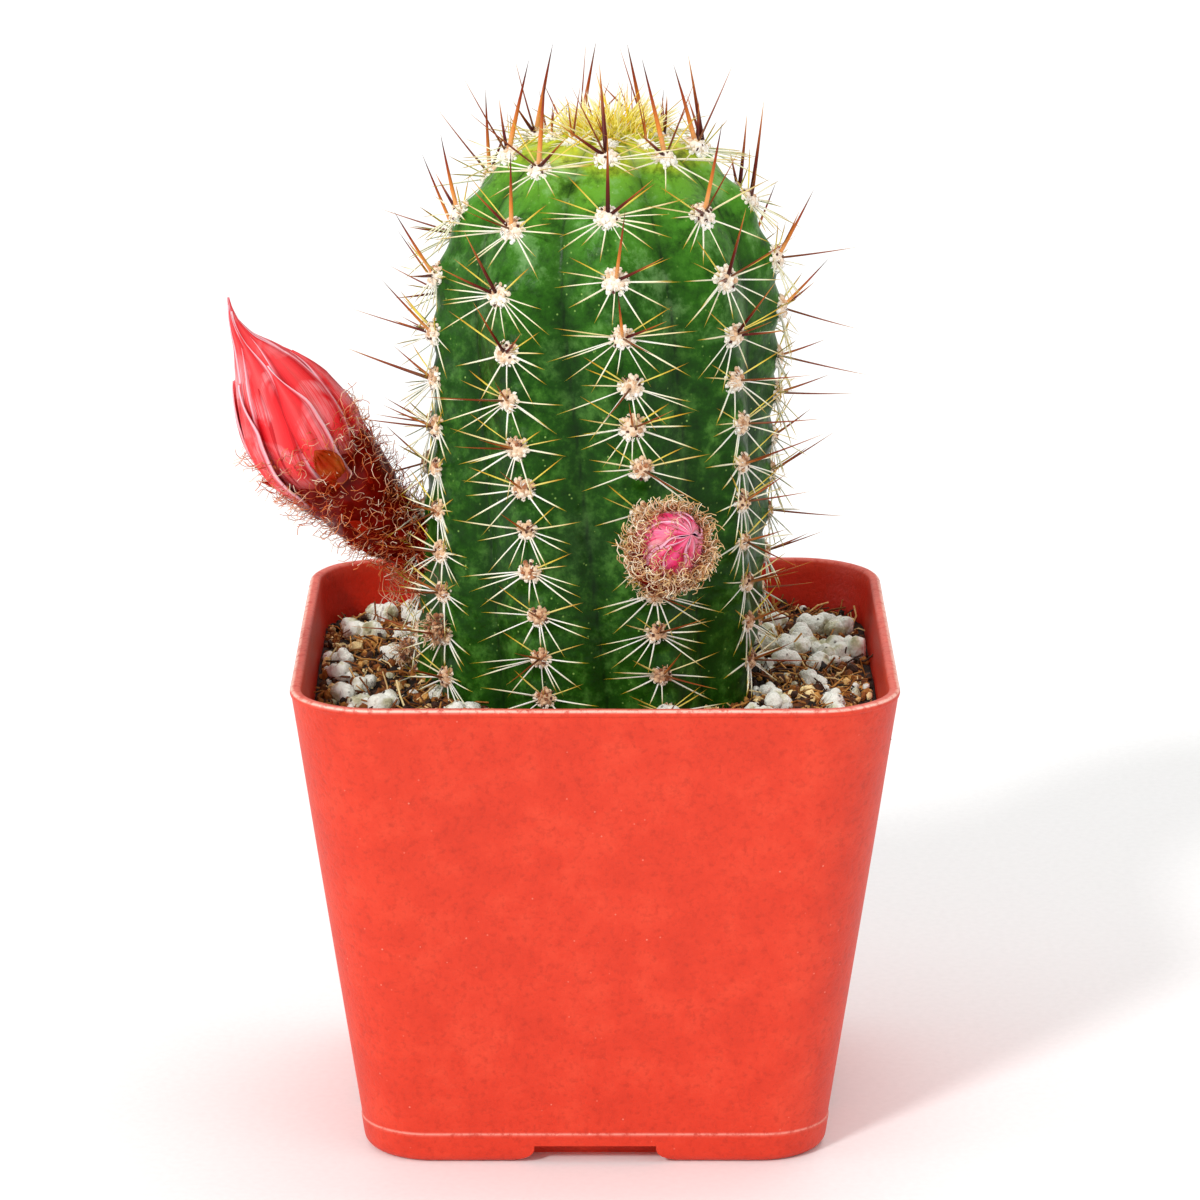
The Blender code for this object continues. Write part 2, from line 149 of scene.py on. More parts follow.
def formula(tree, values, steps):
    """Works out a formula in a tree. Each step has its name, its operation and the names or numbers it takes."""
    for name, operation, *taken in steps:
        inputs = {place: values[item] if isinstance(item, str) else item for place, item in enumerate(taken)}
        values[name] = node(tree, "ShaderNodeMath", inputs, operation=operation)
    return values[steps[-1][0]]


def add_mesh(name, bm, finish, smooth=True):
    """A new object from a working mesh, with its finish."""
    mesh = bpy.data.meshes.new(name)
    bm.to_mesh(mesh)
    bm.free()
    if smooth:
        mesh.shade_smooth()
    mesh.materials.append(finish)
    piece = bpy.data.objects.new(name, mesh)
    bpy.context.scene.collection.objects.link(piece)
    return piece


def plain_mesh(source, name):
    """The evaluated result of an object's modifiers, as a plain object in its place."""
    bpy.context.view_layer.update()
    depsgraph = bpy.context.evaluated_depsgraph_get()
    mesh = bpy.data.meshes.new_from_object(source.evaluated_get(depsgraph))
    mesh.name = name
    bpy.data.objects.remove(source)
    piece = bpy.data.objects.new(name, mesh)
    bpy.context.scene.collection.objects.link(piece)
    return piece


def settle(piece, replaced=()):
    """Makes a piece ride with the plant, and stand for its CAD nodes."""
    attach(piece, "root")
    if replaced:
        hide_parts(*replaced)
    return piece


def new_tree(name, inputs):
    """An empty Geometry Nodes tree with named inputs, and its input and output nodes."""
    tree = bpy.data.node_groups.new(name, "GeometryNodeTree")
    tree.interface.new_socket("Geometry", in_out="INPUT", socket_type="NodeSocketGeometry")
    for label, kind, value in inputs:
        socket = tree.interface.new_socket(label, in_out="INPUT", socket_type="NodeSocket" + kind)
        if value is not None:
            socket.default_value = value
    tree.interface.new_socket("Geometry", in_out="OUTPUT", socket_type="NodeSocketGeometry")
    return tree, tree.nodes.new("NodeGroupInput").outputs, tree.nodes.new("NodeGroupOutput")


def copies(tree, given, shape, scale):
    """Puts a shape on every point, along the point's direction and rolled at random."""
    direction = node(tree, "GeometryNodeInputNamedAttribute", {"Name": "direction"}, data_type="FLOAT_VECTOR")
    aim = node(tree, "FunctionNodeAlignRotationToVector", {"Vector": direction}, axis="Z")
    roll_angle = node(tree, "FunctionNodeRandomValue", {"Min": 0.0, "Max": math.tau, "Seed": given["Seed"]},
                      data_type="FLOAT")
    roll = node(tree, "FunctionNodeAxisAngleToRotation", {"Axis": (0.0, 0.0, 1.0), "Angle": roll_angle})
    turned = node(tree, "FunctionNodeRotateRotation", {"Rotation": aim, "Rotate By": roll},
                  rotation_space="LOCAL")
    placed = node(tree, "GeometryNodeInstanceOnPoints", {"Points": given["Geometry"], "Instance": shape,
                                                         "Rotation": turned, "Scale": scale})
    return node(tree, "GeometryNodeRealizeInstances", {"Geometry": placed})


def end_tree(tree, given, out, geometry):
    """Smooths a tree's result, gives it its finish and sends it out."""
    smooth = node(tree, "GeometryNodeSetShadeSmooth", {"Geometry": geometry})
    finished = node(tree, "GeometryNodeSetMaterial", {"Geometry": smooth, "Material": given["Finish"]})
    connect(tree, finished, out.inputs[0])
    return tree


def run_tree(source, tree, name, values):
    """Runs a tree on an object with the given inputs, and returns the result as a plain object."""
    modifier = source.modifiers.new(name, "NODES")
    modifier.node_group = tree
    for item in tree.interface.items_tree:
        if item.in_out == "INPUT" and item.name in values:
            modifier[item.identifier] = values[item.name]
    return plain_mesh(source, name)


def point_cloud(name, points):
    """Loose points that carry named values: vectors or numbers, the same names on every point."""
    mesh = bpy.data.meshes.new(name)
    mesh.from_pydata([point["place"] for point in points], [], [])
    for key in points[0]:
        if key == "place":
            continue
        is_vector = isinstance(points[0][key], Vector)
        layer = mesh.attributes.new(key, "FLOAT_VECTOR" if is_vector else "FLOAT", "POINT")
        for slot_number, point in enumerate(points):
            if is_vector:
                layer.data[slot_number].vector = point[key]
            else:
                layer.data[slot_number].value = point[key]
    cloud = bpy.data.objects.new(name, mesh)
    bpy.context.scene.collection.objects.link(cloud)
    return cloud


def grow(points, tree, name, values, replaced=()):
    """Runs a tree on a cloud of points, and settles the piece that grows there."""
    settle(run_tree(point_cloud(name + "_places", points), tree, name, values), replaced)


def thicken(piece, name, thickness, offset):
    """Gives a thin sheet its wall, as a plain object."""
    wall = piece.modifiers.new("wall", "SOLIDIFY")
    wall.thickness = thickness
    wall.offset = offset
    return plain_mesh(piece, name)


def skin_rows(bm, rows):
    """Joins rows of equal length with faces."""
    for low, high in zip(rows, rows[1:]):
        for corners in zip(low, low[1:], high[1:], high):
            bm.faces.new(corners)


def spoke(first, second, angle):
    """A direction at an angle from the first of two crossed directions towards the second."""
    return first * math.cos(angle) + second * math.sin(angle)


def held(value, low=0.0, high=1.0):
    """The value, kept between a lowest and a highest one."""
    return min(high, max(low, value))


def smooth_step(low, high, value):
    """0 at low, 1 at high, and an easy rise or fall between them."""
    share = held((value - low) / (high - low))
    return share * share * (3.0 - 2.0 * share)


# ------------------------------------------------------------------ finishes

def moulded_polypropylene():
    """Injection-moulded polypropylene: satin coral red, a fine leathery grain, pale dust nibs, a deeper red
    painted inside as shade, and a pale lip edge that is partly wear and partly painted highlight.
    """
    made, tree, shader, place = finish_named("moulded_polypropylene")
    cloudy = node(tree, "ShaderNodeTexNoise", {"Vector": place, "Scale": 130.0, "Detail": 6.0, "Roughness": 0.7})
    base = node(tree, "ShaderNodeValToRGB", {0: cloudy.outputs[0]},
                stops=((0.3, "#CE3219"), (0.5, "#D8381E"), (0.7, "#E14429")))
    nibs = node(tree, "ShaderNodeTexVoronoi", {"Vector": place, "Scale": 520.0, "Randomness": 1.0})
    spread = node(tree, "ShaderNodeTexNoise", {"Vector": place, "Scale": 90.0, "Detail": 2.0})
    some = node(tree, "ShaderNodeMapRange", {"Value": spread.outputs[0], "From Min": 0.52, "From Max": 0.62})
    nibbed = lay_over(tree, base, "#FBA38C", nibs.outputs["Distance"], 0.09, 0.04, 0.6, where=some)
    # painted shade: the pot's inner wall and floor are laid over with a deeper red, standing in for shade and red
    # bounce light inside the pot
    inside = node(tree, "ShaderNodeAttribute", attribute_name="inside").outputs["Fac"]
    walled = lay_over(tree, nibbed, "#CC1C00", inside, 0.0, 1.0, 0.8)
    grain = node(tree, "ShaderNodeTexNoise", {"Vector": place, "Scale": 1000.0, "Detail": 4.0, "Roughness": 0.7})
    # painted highlight and wear: the lip's top edge and the foot's ledge are laid over with pale pink, partly
    # wear whitening, partly a painted highlight where the edge catches the light
    lip_wear_and_highlight = node(tree, "ShaderNodeAttribute", attribute_name="lip_wear_and_highlight").outputs["Fac"]
    edged = lay_over(tree, walled, "#FFD2C0", grain.outputs[0], 0.36, 0.5, least=0.45, where=lip_wear_and_highlight)
    colour = lay_over(tree, edged, "#B02812", grain.outputs[0], 0.5, 0.3, 0.5)
    waves = node(tree, "ShaderNodeTexNoise", {"Vector": place, "Scale": 60.0, "Detail": 2.0})
    broad = node(tree, "ShaderNodeBump", {"Height": waves.outputs[0], "Strength": 0.25, "Distance": 0.4 * MM})
    fine = node(tree, "ShaderNodeBump", {"Height": grain.outputs[0], "Strength": 0.8, "Distance": 0.2 * MM,
                                         "Normal": broad})
    shine = node(tree, "ShaderNodeMapRange", {"Value": cloudy.outputs[0], "To Min": 0.42, "To Max": 0.56})
    set_shader(tree, shader, Base_Color=colour, Roughness=shine, IOR=1.49, Specular_IOR_Level=0.32, Normal=fine)
    return made


def damp_peat():
    """Damp peat: painted shade makes it nearly black in the hollows between the crumbs, brown on top."""
    made, tree, shader, place = finish_named("damp_peat")
    clumps = node(tree, "ShaderNodeTexNoise", {"Vector": place, "Scale": 550.0, "Detail": 6.0, "Roughness": 0.7})
    # painted shade: the ramp follows the bump's own noise, nearly black in its hollows between the crumbs and
    # brown on its tops
    colour = node(tree, "ShaderNodeValToRGB", {0: clumps.outputs[0]},
                  stops=((0.35, "#0E0602"), (0.55, "#2A1606"), (0.72, "#6A3E16")))
    bump = node(tree, "ShaderNodeBump", {"Height": clumps.outputs[0], "Strength": 0.9, "Distance": 0.6 * MM})
    set_shader(tree, shader, Base_Color=colour, Roughness=0.9, Normal=bump)
    return made


def washed_pumice():
    """Pumice: chalky cream stone with small pores painted dark as shade in the pits, and a brown stain where it
    lay in the peat.
    """
    made, tree, shader, place = finish_named("washed_pumice")
    stain = node(tree, "ShaderNodeTexNoise", {"Vector": place, "Scale": 260.0, "Detail": 4.0})
    stone = node(tree, "ShaderNodeValToRGB", {0: stain.outputs[0]},
                 stops=((0.28, "#8C8458"), (0.38, "#D8D4B2"), (0.46, "#FFFFF4")))
    # painted shade: small dark spots stand in for the shade inside the pores
    pores = node(tree, "ShaderNodeTexVoronoi", {"Vector": place, "Scale": 700.0})
    spread = node(tree, "ShaderNodeTexNoise", {"Vector": place, "Scale": 700.0})
    some = node(tree, "ShaderNodeMapRange", {"Value": spread.outputs[0], "From Min": 0.5, "From Max": 0.6})
    colour = lay_over(tree, stone, "#3A2C1C", pores.outputs["Distance"], 0.25, 0.15, where=some)
    rough = node(tree, "ShaderNodeTexNoise", {"Vector": place, "Scale": 1100.0, "Detail": 5.0, "Roughness": 0.65})
    bump = node(tree, "ShaderNodeBump", {"Height": rough.outputs[0], "Strength": 1.0, "Distance": 0.7 * MM})
    set_shader(tree, shader, Base_Color=colour, Roughness=0.9, Normal=bump)
    return made


def waxy_cactus_skin():
    """Waxy skin: dark green with painted shade in the grooves, yellow-green at the crown, pale breathing pores,
    and pale painted highlight patches on the upper stem.
    """
    made, tree, shader, place = finish_named("waxy_cactus_skin")
    height = node(tree, "ShaderNodeSeparateXYZ", {0: place}).outputs[2]
    cloudy = node(tree, "ShaderNodeTexNoise", {"Vector": place, "Scale": 95.0, "Detail": 5.0, "Roughness": 0.6})
    wander = node(tree, "ShaderNodeMath", {0: cloudy.outputs[0], 1: 4.0 * MM, 2: height},
                  operation="MULTIPLY_ADD")
    level = node(tree, "ShaderNodeMapRange", {"Value": wander, "From Min": SOIL_LEVEL + 4.0 * MM,
                                              "From Max": STEM_HIGH.z + 4.0 * MM})
    green = node(tree, "ShaderNodeValToRGB", {0: level},
                 stops=((0.0, "#1E4A08"), (0.3, "#1B4607"), (0.6, "#1B4808"), (0.76, "#2C6210"),
                        (0.86, "#468420"), (0.915, "#6CA42C"), (0.945, "#C6D232"), (1.0, "#F2EA44")))
    mottle = node(tree, "ShaderNodeTexNoise", {"Vector": place, "Scale": 300.0, "Detail": 6.0, "Roughness": 0.7})
    patched = lay_over(tree, green, "#5C9A34", mottle.outputs[0], 0.5, 0.7, 0.5)
    lit = lay_over(tree, patched, "#0E2C04", mottle.outputs[0], 0.5, 0.3, 0.9)
    # painted shade: the grooves are darkened, most of all along their floors, standing in for the shade between
    # the ribs
    groove = node(tree, "ShaderNodeAttribute", attribute_name="groove").outputs["Fac"]
    shaded = lay_over(tree, lit, "#0A2406", groove, 0.6, 1.0, 0.5)
    groove_floor_shaded = lay_over(tree, shaded, "#051603", groove, 0.95, 1.0, 0.7)
    pores = node(tree, "ShaderNodeTexVoronoi", {"Vector": place, "Scale": 780.0})
    some = node(tree, "ShaderNodeMapRange", {"Value": pores.outputs["Color"], "From Min": 0.45, "From Max": 0.75})
    dotted = lay_over(tree, groove_floor_shaded, "#8FB45A", pores.outputs["Distance"], 0.15, 0.05, where=some)
    # painted highlight: pale patches of noise, laid on more strongly up the stem by the young mask, stand in for
    # soft reflections on the upper ribs
    upper_highlight_noise = node(tree, "ShaderNodeTexNoise", {"Vector": place, "Scale": 150.0, "Detail": 6.0, "Roughness": 0.7})
    young = node(tree, "ShaderNodeMapRange", {"Value": level, "From Min": 0.62, "From Max": 0.86, "To Min": 0.04,
                                              "To Max": 0.38})
    colour = lay_over(tree, dotted, "#B4D8A0", upper_highlight_noise.outputs[0], 0.54, 0.72, where=young)
    cells = node(tree, "ShaderNodeTexNoise", {"Vector": place, "Scale": 500.0, "Detail": 5.0})
    bump = node(tree, "ShaderNodeBump", {"Height": cells.outputs[0], "Strength": 0.6, "Distance": 0.4 * MM})
    set_shader(tree, shader, Base_Color=colour, Roughness=0.34, IOR=1.45, Specular_IOR_Level=0.14, Normal=bump)
    return made


def tinted_finish(name, scale, detail, share, centre, stops, strength, depth, **shader_values):
    """A finish whose colour follows the tint that the mesh carries, varied by a fine pattern."""
    made, tree, shader, place = finish_named(name)
    tint = node(tree, "ShaderNodeAttribute", attribute_name="tint").outputs["Fac"]
    pattern = node(tree, "ShaderNodeTexNoise", {"Vector": place, "Scale": scale, "Detail": detail})
    varied = formula(tree, {"pattern": pattern.outputs[0], "tint": tint}, (
        ("mixed", "MULTIPLY_ADD", "pattern", share, "tint"), ("varied", "SUBTRACT", "mixed", centre)))
    colour = node(tree, "ShaderNodeValToRGB", {0: varied}, stops=stops)
    bump = node(tree, "ShaderNodeBump", {"Height": pattern.outputs[0], "Strength": strength, "Distance": depth})
    set_shader(tree, shader, Base_Color=colour, Normal=bump, **shader_values)
    return made


def horn_finish(name, young_stops, old_stops, roughness):
    """Spine horn or hair, coloured from base to point, with a second set of colours where the tint is high."""
    made, tree, shader, place = finish_named(name)
    along = node(tree, "ShaderNodeAttribute", attribute_name="along").outputs["Fac"]
    tint = node(tree, "ShaderNodeAttribute", attribute_name="tint").outputs["Fac"]
    young = node(tree, "ShaderNodeValToRGB", {0: along}, stops=young_stops)
    old = node(tree, "ShaderNodeValToRGB", {0: along}, stops=old_stops)
    colour = node(tree, "ShaderNodeMix", {"Factor": tint, "A": young, "B": old}, data_type="RGBA")
    streaks = node(tree, "ShaderNodeTexNoise", {"Vector": place, "Scale": 1500.0, "Detail": 2.0})
    bump = node(tree, "ShaderNodeBump", {"Height": streaks.outputs[0], "Strength": 0.3, "Distance": 0.05 * MM})
    set_shader(tree, shader, Base_Color=colour, Roughness=roughness, IOR=1.54, Specular_IOR_Level=0.2,
               Normal=bump)
    return made


def tepal_skin(name, stops):
    """Closed tepals: satin flesh, deep red towards the edges as painted shade in the folds, pale at the very
    edges, partly the thin margin and partly painted highlight, pale painted highlight streaks, and brown at the
    seat.
    """
    made, tree, shader, place = finish_named(name)
    across = node(tree, "ShaderNodeAttribute", attribute_name="across").outputs["Fac"]
    along = node(tree, "ShaderNodeAttribute", attribute_name="along").outputs["Fac"]
    flow = node(tree, "ShaderNodeCombineXYZ", {0: across, 1: along})
    stretched = node(tree, "ShaderNodeMapping", {"Vector": flow, "Scale": (9.0, 1.3, 1.0)})
    veins = node(tree, "ShaderNodeTexNoise", {"Vector": stretched, "Scale": 2.2, "Detail": 5.0, "Roughness": 0.6})
    from_midrib = formula(tree, {"veins": veins.outputs[0], "across": across}, (
        ("wander", "MULTIPLY_ADD", "veins", 0.35, "across"), ("centred", "SUBTRACT", "wander", 0.17),
        ("from midrib", "ABSOLUTE", "centred")))
    # the ramp from midrib to edge: deep red towards the edges is painted shade in the folds, and the pale very
    # edge is partly the thin margin, partly painted highlight
    flesh = node(tree, "ShaderNodeValToRGB", {0: from_midrib}, stops=stops)
    # painted highlight: pale pink spots laid along the veins stand in for silky highlights on the tepals
    tepal_highlight_noise = node(tree, "ShaderNodeTexNoise", {"Vector": place, "Scale": 160.0, "Detail": 3.0, "Distortion": 0.6})
    streak = node(tree, "ShaderNodeMapRange", {"Value": veins.outputs[0], "From Min": 0.4, "From Max": 0.62})
    highlighted_flesh = lay_over(tree, flesh, "#FFC0C6", tepal_highlight_noise.outputs[0], 0.46, 0.64, 0.7, where=streak)
    colour = lay_over(tree, highlighted_flesh, "#7A2008", along, 0.16, 0.0, 0.85)
    bump = node(tree, "ShaderNodeBump", {"Height": veins.outputs[0], "Strength": 0.4, "Distance": 0.3 * MM})
    set_shader(tree, shader, Base_Color=colour, Roughness=0.32, IOR=1.42, Specular_IOR_Level=0.35, Normal=bump,
               Subsurface_Weight=0.1, Subsurface_Scale=1.2 * MM)
    return made


polypropylene = moulded_polypropylene()
peat = damp_peat()
pumice = washed_pumice()
skin = waxy_cactus_skin()
# Composted bark crumbs and coir fibre: each bit has its own brown, from nearly black to straw.
bark = tinted_finish("bark_and_coir", 1800.0, 3.0, 0.35, 0.17,
                     ((0.0, "#140800"), (0.28, "#421E04"), (0.5, "#92500F"), (0.75, "#D49848"), (1.0, "#FFE6AA")),
                     0.7, 0.2 * MM, Roughness=0.8)
# Areole wool: felted plant hair, cream when young, tan with age, with dark spine stubs in it.
wool = tinted_finish("felted_wool", 2600.0, 3.0, 0.3, 0.15,
                     ((0.0, "#FFFEF8"), (0.3, "#FDF0DE"), (0.5, "#E8C29A"), (0.72, "#A8663A"), (0.92, "#52240F")),
                     0.6, 0.12 * MM, Roughness=0.95, Sheen_Weight=0.3)
# The flower tube's skin and scales: glossy and dark wine red, with the scales a rusty brown.
tube_skin = tinted_finish("bud_tube_skin", 480.0, 4.0, 0.4, 0.0,
                          ((0.05, "#420200"), (0.3, "#820A00"), (0.55, "#A81E04"), (0.8, "#A85C1C"),
                           (1.0, "#9A7226")),
                          0.5, 0.3 * MM, Roughness=0.26, IOR=1.45, Specular_IOR_Level=0.12)
# Radial spines: ivory horn with straw-yellow points, the upper ones amber throughout.
ivory_horn = horn_finish("ivory_horn",
                         ((0.0, "#FBF0D6"), (0.25, "#FFFFFA"), (0.66, "#FBF7D2"), (0.86, "#C4A21C")),
                         ((0.0, "#E2CC80"), (0.4, "#EED858"), (0.75, "#C9981E"), (1.0, "#8A5A10")), 0.35)
# Central spines: peach horn darkening to a maroon point, or maroon from the base with an amber point.
maroon_horn = horn_finish("maroon_horn",
                          ((0.0, "#F4B878"), (0.3, "#E08434"), (0.6, "#9A360C"), (0.85, "#4A1004")),
                          ((0.0, "#2A0602"), (0.4, "#641406"), (0.75, "#A85618"), (1.0, "#D89A3C")), 0.3)
# Crown bristles: translucent straw, lemon yellow in the mass.
straw_horn = horn_finish("straw_horn",
                         ((0.0, "#FFF07A"), (0.35, "#FFF468"), (0.75, "#FFFBC0"), (1.0, "#FFFFF6")),
                         ((0.0, "#F4B424"), (0.4, "#FFE038"), (0.8, "#F2AE38"), (1.0, "#B8641E")), 0.45)
# Bud hair: wiry curls, rust brown on the large bud and buff on the small one.
rust_hair = horn_finish("rust_hair", ((0.0, "#841606"), (0.5, "#C44818"), (1.0, "#E68C50")),
                        ((0.0, "#A83A1C"), (0.5, "#F0A47A"), (1.0, "#FFECD4")), 0.4)
buff_hair = horn_finish("buff_hair", ((0.0, "#6A2A0C"), (0.45, "#BC7038"), (1.0, "#F4D298")),
                        ((0.0, "#B46844"), (0.45, "#F4C49C"), (1.0, "#FFF6DC")), 0.45)
# tepal colours from midrib to edge: the deep red stop is painted fold shade; the pale last stop is partly the
# thin margin, partly painted highlight
coral_flesh = tepal_skin("coral_tepal_flesh", ((0.0, "#F94A4C"), (0.25, "#F43A3E"), (0.55, "#EA2028"),
                                               (0.72, "#C00814"), (0.85, "#F0606A"), (0.94, "#FFC6D0")))
pink_flesh = tepal_skin("pink_tepal_flesh", ((0.0, "#FA5A90"), (0.25, "#EE3672"), (0.5, "#D81C54"),
                                             (0.76, "#A00432"), (0.93, "#FFB8D2")))


# ------------------------------------------------------------------ pot

def half_width(z):
    """Half the pot's outer width at a height."""
    return FOOT_HALF + (RIM_HALF - FOOT_HALF) * z / POT_HEIGHT


def square_ring(half, radius, z, corner_steps=14, side_steps=10):
    """Points round a square with rounded corners, anticlockwise from the right side."""
    points = []
    radius = max(radius, 0.02 * MM)
    for quarter in range(4):
        turn = Matrix.Rotation(quarter * math.pi / 2.0, 2)
        for step in range(side_steps):
            along = (-1.0 + 2.0 * step / side_steps) * (half - radius)
            points.append(turn @ Vector((half, along)))
        for step in range(corner_steps):
            angle = step / corner_steps * math.pi / 2.0
            points.append(turn @ Vector((half - radius + radius * math.cos(angle),
                                         half - radius + radius * math.sin(angle))))
    return [Vector((POT_X + p.x, p.y, z)) for p in points]


def skin_rings(bm, rings, closed_ends=True):
    """Joins rings of equal length with faces, and closes the first and last with a fan."""
    rows = [[bm.verts.new(point) for point in ring] for ring in rings]
    for low, high in zip(rows, rows[1:]):
        for place in range(len(low)):
            following = (place + 1) % len(low)
            bm.faces.new((low[place], low[following], high[following], high[place]))
    if closed_ends:
        for row in (rows[0], rows[-1]):
            middle = bm.verts.new(sum((v.co for v in row), Vector()) / len(row))
            for place in range(len(row)):
                bm.faces.new((row[place], row[(place + 1) % len(row)], middle))
    bmesh.ops.recalc_face_normals(bm, faces=bm.faces[:])


def pot_profile():
    """Pairs of inset and height, from the middle of the underside round the outside to the inner floor."""
    fillet = 1.6 * MM
    foot = 5.0 * MM
    pairs = [(24.0 * MM, FLOOR_UNDERSIDE), (foot + 0.6 * MM, FLOOR_UNDERSIDE), (foot, FLOOR_UNDERSIDE - 0.4 * MM),
             (foot, 0.3 * MM), (foot - 0.3 * MM, 0.0)]
    for step in range(9):
        angle = step / 8.0 * math.pi / 2.0
        pairs.append((fillet * (1.0 - math.sin(angle)), fillet * (1.0 - math.cos(angle))))
    pairs += [(0.0, FOOT_BAND - 0.4 * MM), (0.0, FOOT_BAND - 0.05 * MM), (0.05 * MM, FOOT_BAND + 0.05 * MM),
              (0.14 * MM, FOOT_BAND + 0.12 * MM), (0.16 * MM, FOOT_BAND + 0.4 * MM)]
    wall_top = POT_HEIGHT - LIP_HEIGHT
    for step in range(1, 15):
        share = step / 14.0
        pairs.append((0.16 * MM, FOOT_BAND + share * (wall_top - FOOT_BAND - 0.3 * MM) + 0.2 * MM))
    lip_radius = LIP_HEIGHT / 2.0
    for step in range(1, 8):
        angle = math.radians(-60.0 + step / 7.0 * 150.0)
        pairs.append((lip_radius * (1.0 - math.cos(angle)), POT_HEIGHT - lip_radius * (1.0 - math.sin(angle))))
    for step in range(1, 6):
        angle = math.radians(90.0 + step / 5.0 * 90.0)
        pairs.append((LIP_WIDTH - 0.5 * MM - 0.5 * MM * math.cos(angle),
                      POT_HEIGHT - 0.5 * MM * (1.0 - math.sin(angle))))
    pairs += [(LIP_WIDTH, POT_HEIGHT - 1.6 * MM), (WALL + 0.2 * MM, POT_HEIGHT - 2.6 * MM)]
    for step in range(1, 11):
        pairs.append((WALL, POT_HEIGHT - 3.0 * MM - step / 10.0 * (POT_HEIGHT - 3.0 * MM - FLOOR_TOP - 2.0 * MM)))
    pairs += [(WALL + 0.6 * MM, FLOOR_TOP + 0.6 * MM), (WALL + 2.0 * MM, FLOOR_TOP), (24.0 * MM, FLOOR_TOP)]
    return pairs


def arch_cutter(turn):
    """Cuts the square-topped gap between two feet, flared where the feet round off to the ground."""
    outline = [(-9.0, 2.8), (-9.0, 2.1), (-9.3, 1.5), (-9.9, 1.0), (-10.8, 0.6), (-11.9, 0.3), (-13.2, 0.08),
               (-14.6, -1.0)]
    outline += [(-x, z) for x, z in reversed(outline)]
    bm = bmesh.new()
    ends = []
    for depth in (FOOT_HALF - 4.7 * MM, FOOT_HALF + 5.0 * MM):
        ends.append([bm.verts.new((x * MM, -depth, z * MM)) for x, z in outline])
    bm.faces.new(ends[0])
    bm.faces.new(list(reversed(ends[1])))
    for place in range(len(outline)):
        following = (place + 1) % len(outline)
        bm.faces.new((ends[0][following], ends[0][place], ends[1][place], ends[1][following]))
    bmesh.ops.recalc_face_normals(bm, faces=bm.faces[:])
    bm.transform(Matrix.Translation((POT_X, 0.0, 0.0)) @ Matrix.Rotation(turn, 4, "Z"))
    return bm


def drain_cutter(x, y):
    """Cuts a round drain hole through the pot's floor."""
    bm = bmesh.new()
    bmesh.ops.create_cone(bm, cap_ends=True, segments=24, radius1=DRAIN_RADIUS, radius2=DRAIN_RADIUS,
                          depth=20.0 * MM)
    bm.transform(Matrix.Translation((POT_X + x, y, 0.0)))
    return bm


def make_pot():
    """The thin-walled square pot, with four feet, five drain holes and a rolled lip, its edge painted pale:
    partly wear, partly a painted highlight.
    """
    bm = bmesh.new()
    rings = []
    for inset, z in pot_profile():
        radius = CORNER_RADIUS * half_width(z) / RIM_HALF - inset
        rings.append(square_ring(half_width(z) - inset, radius, z))
    skin_rings(bm, rings)
    for vert in bm.verts:
        # the thin rim is never quite true: it waves a little and bows at the middle of each side
        share = smooth_step(0.6 * POT_HEIGHT, POT_HEIGHT, vert.co.z)
        out = Vector((vert.co.x - POT_X, vert.co.y, 0.0)).normalized()
        wave = noise.noise(Vector((vert.co.x * 60.0, vert.co.y * 60.0, 3.0)))
        vert.co -= out * share * (0.12 + 0.1 * wave) * MM
        if vert.co.z > POT_HEIGHT - 1.2 * MM:
            vert.co.z += (0.12 * noise.noise(Vector((vert.co.x * 150.0, vert.co.y * 150.0, 0.0))) - 0.12) * MM
    pot = add_mesh("nursery_pot", bm, polypropylene)
    cutters = []
    shapes = [arch_cutter(side * math.pi / 2.0) for side in range(4)]
    shapes += [drain_cutter(x * DRAIN_SPACING, y * DRAIN_SPACING)
               for x, y in ((0, 0), (-1, -1), (1, -1), (1, 1), (-1, 1))]
    for shape in shapes:
        cutter = add_mesh("pot_cutter", shape, polypropylene, smooth=False)
        modifier = pot.modifiers.new("cut", "BOOLEAN")
        modifier.object = cutter
        modifier.solver = "EXACT"
        cutters.append(cutter)
    pot = plain_mesh(pot, "nursery_pot")
    for cutter in cutters:
        bpy.data.objects.remove(cutter)
    pot.data.set_sharp_from_angle(angle=math.radians(38.0))
    # painted shade: the inner wall and floor are marked to be painted deeper red, fading in below the lip, for
    # shade and red bounce light inside the pot
    inside = pot.data.attributes.new("inside", "FLOAT", "POINT")
    lip_wear_and_highlight = pot.data.attributes.new("lip_wear_and_highlight", "FLOAT", "POINT")
    for number, vert in enumerate(pot.data.vertices):
        x, y, z = abs(vert.co.x - POT_X), abs(vert.co.y), vert.co.z
        corner = Vector([max(0.0, away - half_width(z) + CORNER_RADIUS) for away in (x, y)])
        inset = CORNER_RADIUS - corner.length if min(corner) > 0.0 else half_width(z) - max(x, y)
        in_pot = z > FLOOR_TOP - 0.1 * MM and inset > 0.9 * MM
        if in_pot:
            inside.data[number].value = smooth_step(POT_HEIGHT - 0.4 * MM, POT_HEIGHT - 3.0 * MM, z)
        # the pale mark for the lip's top edge and, fainter, for the foot's ledge: partly wear, partly painted
        # highlight
        ledge = math.exp(-(((z - FOOT_BAND - 0.1 * MM) / (0.12 * MM)) ** 2)) if inset < 0.6 * MM else 0.0
        top = smooth_step(POT_HEIGHT - 0.6 * MM, POT_HEIGHT - 0.25 * MM, z)
        edge = math.exp(-(((inset - 0.35 * MM) / (0.26 * MM)) ** 2))
        lip_wear_and_highlight.data[number].value = max(top * (0.15 + 0.85 * edge), 0.4 * ledge)
    settle(pot, ["pot"])


# ------------------------------------------------------------------ stem

